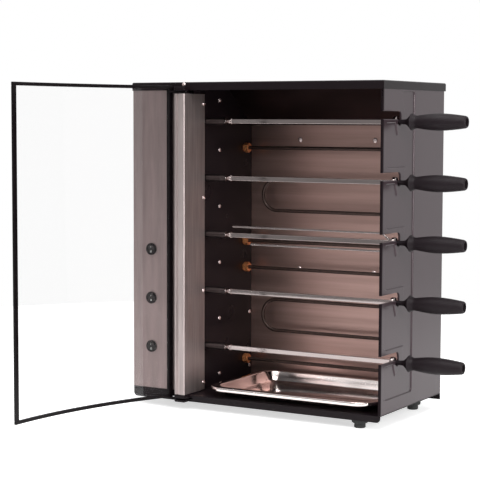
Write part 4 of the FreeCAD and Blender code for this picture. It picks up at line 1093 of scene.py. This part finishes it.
class GRILL_OT_tray(bpy.types.Operator):
    """Pressed drip tray with a turned-down rim"""
    bl_idname = "grill.tray"
    bl_label = "Drip tray"

    # how far each step of a bend goes across and down
    rim_bend = ((0.0007, 0.0002), (0.0006, 0.0006), (0.0004, 0.0012))
    floor_bend = ((0.0008, 0.0012), (0.0012, 0.0010), (0.0020, 0.0007), (0.0030, 0.0003))
    floor_rise = ((0.0040, 0.0), (0.0010, -0.0006))
    lip_bend = ((0.0007, 0.0003), (0.0005, 0.0009))
    lip_curl = ((-0.0004, 0.0008),)

    def press(self, own, depth):
        """The rim, the leaning walls and the floor, pressed out of a flat sheet."""
        bends = self.rim_bend + self.floor_bend
        wall = depth - sum(down for across, down in bends)
        steps = [(own.tray_rim, 0.0), *self.rim_bend, (own.tray_slope, wall),
                 *self.floor_bend, *self.floor_rise]
        for across, down in steps:
            bpy.ops.mesh.inset(thickness=across, depth=-down)

    def turn_lip(self, own, middle, span):
        """The lip that hangs from the rim's outer edge."""
        for out, down in (*self.lip_bend, (0.0, own.tray_lip), *self.lip_curl):
            bpy.ops.mesh.extrude_edges_move(TRANSFORM_OT_translate={"value": (0, 0, -down)})
            grown = [side + out * 2 for side in span]
            share = (grown[0] / span[0], grown[1] / span[1], 1)
            bpy.ops.transform.resize(value=share, center_override=middle)
            span = grown

    def execute(self, context):
        own = sizes()
        low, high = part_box("drip_tray")
        middle = ((low.x + high.x) / 2, (low.y + high.y) / 2, high.z)
        roll = sum(out for out, down in self.lip_bend)
        span = [high.x - low.x - roll * 2, high.y - low.y - roll * 2]
        clear_pick()
        bpy.ops.mesh.primitive_plane_add(size=1, location=middle)
        tray = settle(bpy.context.object, "drip_tray_pressing")
        edit()
        bpy.ops.transform.resize(value=(*span, 1), center_override=middle)
        bpy.ops.mesh.bevel(
            offset=own.tray_corner, segments=14, affect="VERTICES", clamp_overlap=False)
        bpy.ops.mesh.select_mode(type="FACE")
        bpy.ops.mesh.select_all(action="SELECT")
        self.press(own, high.z - low.z - own.tray_sheet)
        bpy.ops.mesh.select_mode(type="EDGE")
        bpy.ops.mesh.select_all(action="DESELECT")
        bpy.ops.mesh.select_non_manifold()
        self.turn_lip(own, middle, span)
        done()
        apply(tray, "SOLIDIFY", thickness=own.tray_sheet, offset=-1.0)
        face_out(tray)
        smooth(tray, degrees=40)
        fit(tray, tray_steel(), "tray_steel", "tray", "drip_tray")
        return {"FINISHED"}


class GRILL_OT_door(bpy.types.Operator):
    """Bowed glass door in its slim black frame"""
    bl_idname = "grill.door"
    bl_label = "Door"

    def execute(self, context):
        own = sizes()
        paint = door_frame_paint()
        for node in ("door_top_rail", "door_bottom_rail", "door_free_stile", "door_hinge_stile"):
            dress(node, paint, "door_black", own.frame_round)
        dress("door_hinge_arms", paint, "door_black", own.sheet_round)
        dress("door_glass", tempered_glass(), "door_glass")
        return {"FINISHED"}


class GRILL_OT_stage(bpy.types.Operator):
    """Pale floor, soft boxes, surround and camera"""
    bl_idname = "grill.stage"
    bl_label = "Stage"

    # the lamps aim at the middle of the grill: name, place, width, height, power
    aim = (0, 0, 0.35)
    lamps = (
        ("overhead box", (0.2, -0.7, 2.6), 2.2, 1.6, 46),
        ("side strip", (2.5, -1.05, 0.9), 0.5, 1.8, 50),
        ("front box", (0.9, -2.7, 2.3), 1.8, 1.2, 50),
    )

    def lay_floor(self):
        """A round pale floor that looks white and still takes the grill's shadow."""
        radius, glow = 1.9, 0.62
        clear_pick()
        bpy.ops.mesh.primitive_circle_add(
            vertices=64, radius=radius, fill_type="NGON", location=(0, 0, 0))
        floor = bpy.context.object
        floor.name = "floor"
        made = bpy.data.materials.new("Pale floor")
        made.use_nodes = True
        coat = Coat(made)
        coat.plain(colours().floor, metal=0.0, rough=0.85, Specular_IOR_Level=0.1)
        seen = coat.any_ray("Is Camera Ray", "Is Glossy Ray", "Is Transmission Ray")
        strength = coat.calculate("MULTIPLY", seen, glow)
        lift = coat.add("Emission", Color=(1, 1, 1, 1), Strength=strength)
        both = coat.add("AddShader")
        coat.feed(both.inputs[0], coat.shader.outputs["BSDF"])
        coat.feed(both.inputs[1], lift.outputs["Emission"])
        surface = coat.tree.nodes["Material Output"].inputs["Surface"]
        coat.feed(surface, both.outputs["Shader"])
        floor.data.materials.append(made)

    def light_surround(self):
        """White where it is seen, and an even grey that metal mirrors lighter behind."""
        even, dim, ceiling_level = 0.42, 0.42, 1.15
        world = bpy.data.worlds.new("Studio")
        bpy.context.scene.world = world
        world.use_nodes = True
        nodes = Nodes(world.node_tree)
        towards = nodes.add("TexCoord").outputs["Generated"]
        axes = nodes.add("SeparateXYZ", Vector=towards).outputs
        behind = nodes.ranged(axes["Y"], dim, 1.0, start=-0.45, end=0.75, course="SMOOTHSTEP")
        ceiling = nodes.ranged(axes["Z"], 0.0, ceiling_level, start=0.35, end=0.70,
                               course="SMOOTHSTEP")
        mirrored = nodes.calculate("MAXIMUM", behind, ceiling)
        level = nodes.mix("Float", nodes.any_ray("Is Glossy Ray"), even, mirrored)
        seen = nodes.any_ray("Is Camera Ray", "Is Transmission Ray")
        back = nodes.tree.nodes["Background"]
        nodes.feed(back.inputs["Color"], (1, 1, 1, 1))
        nodes.feed(back.inputs["Strength"], nodes.mix("Float", seen, level, 1.0))

    def soft_box(self, name, place, wide, high, power):
        """A lamp that the camera doesn't see."""
        light = bpy.data.lights.new(name, "AREA")
        light.shape = "RECTANGLE"
        light.size = wide
        light.size_y = high
        light.energy = power
        lamp = bpy.data.objects.new(name, light)
        lamp.location = place
        towards = Vector(self.aim) - Vector(place)
        lamp.rotation_euler = towards.to_track_quat("-Z", "Y").to_euler()
        lamp.visible_camera = False
        into_scene(lamp)

    def place_camera(self):
        """A camera with a long lens, to the right of the grill and a little above it."""
        place = (1.53108, -2.80474, 0.61171)
        yaw, pitch, roll = 0.5310444, 0.0798238, 0.0029803
        focal, sensor, nearest, farthest = 112.9226, 36, 0.05, 60
        lens = bpy.data.cameras.new("camera")
        lens.sensor_width = sensor
        lens.lens = focal
        lens.clip_start = nearest
        lens.clip_end = farthest
        camera = bpy.data.objects.new("camera", lens)
        heading = Matrix.Rotation(yaw, 4, "Z") @ Matrix.Rotation(math.pi / 2 - pitch, 4, "X")
        turn = heading @ Matrix.Rotation(roll, 4, "Z")
        camera.matrix_world = Matrix.Translation(place) @ turn
        into_scene(camera)
        bpy.context.scene.camera = camera

    def execute(self, context):
        self.lay_floor()
        self.light_surround()
        for lamp in self.lamps:
            self.soft_box(*lamp)
        self.place_camera()
        bpy.context.scene.view_settings.view_transform = "Standard"
        return {"FINISHED"}


OPERATORS = (
    GRILL_OT_cabinet, GRILL_OT_chamber, GRILL_OT_hinges, GRILL_OT_elements, GRILL_OT_skewers,
    GRILL_OT_handles, GRILL_OT_drive, GRILL_OT_switches, GRILL_OT_inlet, GRILL_OT_screws,
    GRILL_OT_feet, GRILL_OT_tray, GRILL_OT_door, GRILL_OT_stage,
)


class GRILL_PT_bench(bpy.types.Panel):
    """Lists the pieces of the grill"""
    bl_idname = "GRILL_PT_bench"
    bl_label = "Skewer grill"
    bl_space_type = "VIEW_3D"
    bl_region_type = "UI"
    bl_category = "Grill"

    def draw(self, context):
        column = self.layout.column(align=True)
        for operator in OPERATORS:
            column.operator(operator.bl_idname)
        for group in (context.scene.grill_sizes, context.scene.grill_colours):
            box = self.layout.box()
            for key in group.__annotations__:
                box.prop(group, key)


CLASSES = (GrillSizes, GrillColours, *OPERATORS, GRILL_PT_bench)


def register():
    for cls in CLASSES:
        bpy.utils.register_class(cls)
    bpy.types.Scene.grill_sizes = PointerProperty(type=GrillSizes)
    bpy.types.Scene.grill_colours = PointerProperty(type=GrillColours)


def unregister():
    del bpy.types.Scene.grill_colours
    del bpy.types.Scene.grill_sizes
    for cls in reversed(CLASSES):
        bpy.utils.unregister_class(cls)


def main():
    register()
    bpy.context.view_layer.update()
    for operator in OPERATORS:
        group, name = operator.bl_idname.split(".")
        getattr(getattr(bpy.ops, group), name)()


if __name__ == "__main__":
    main()
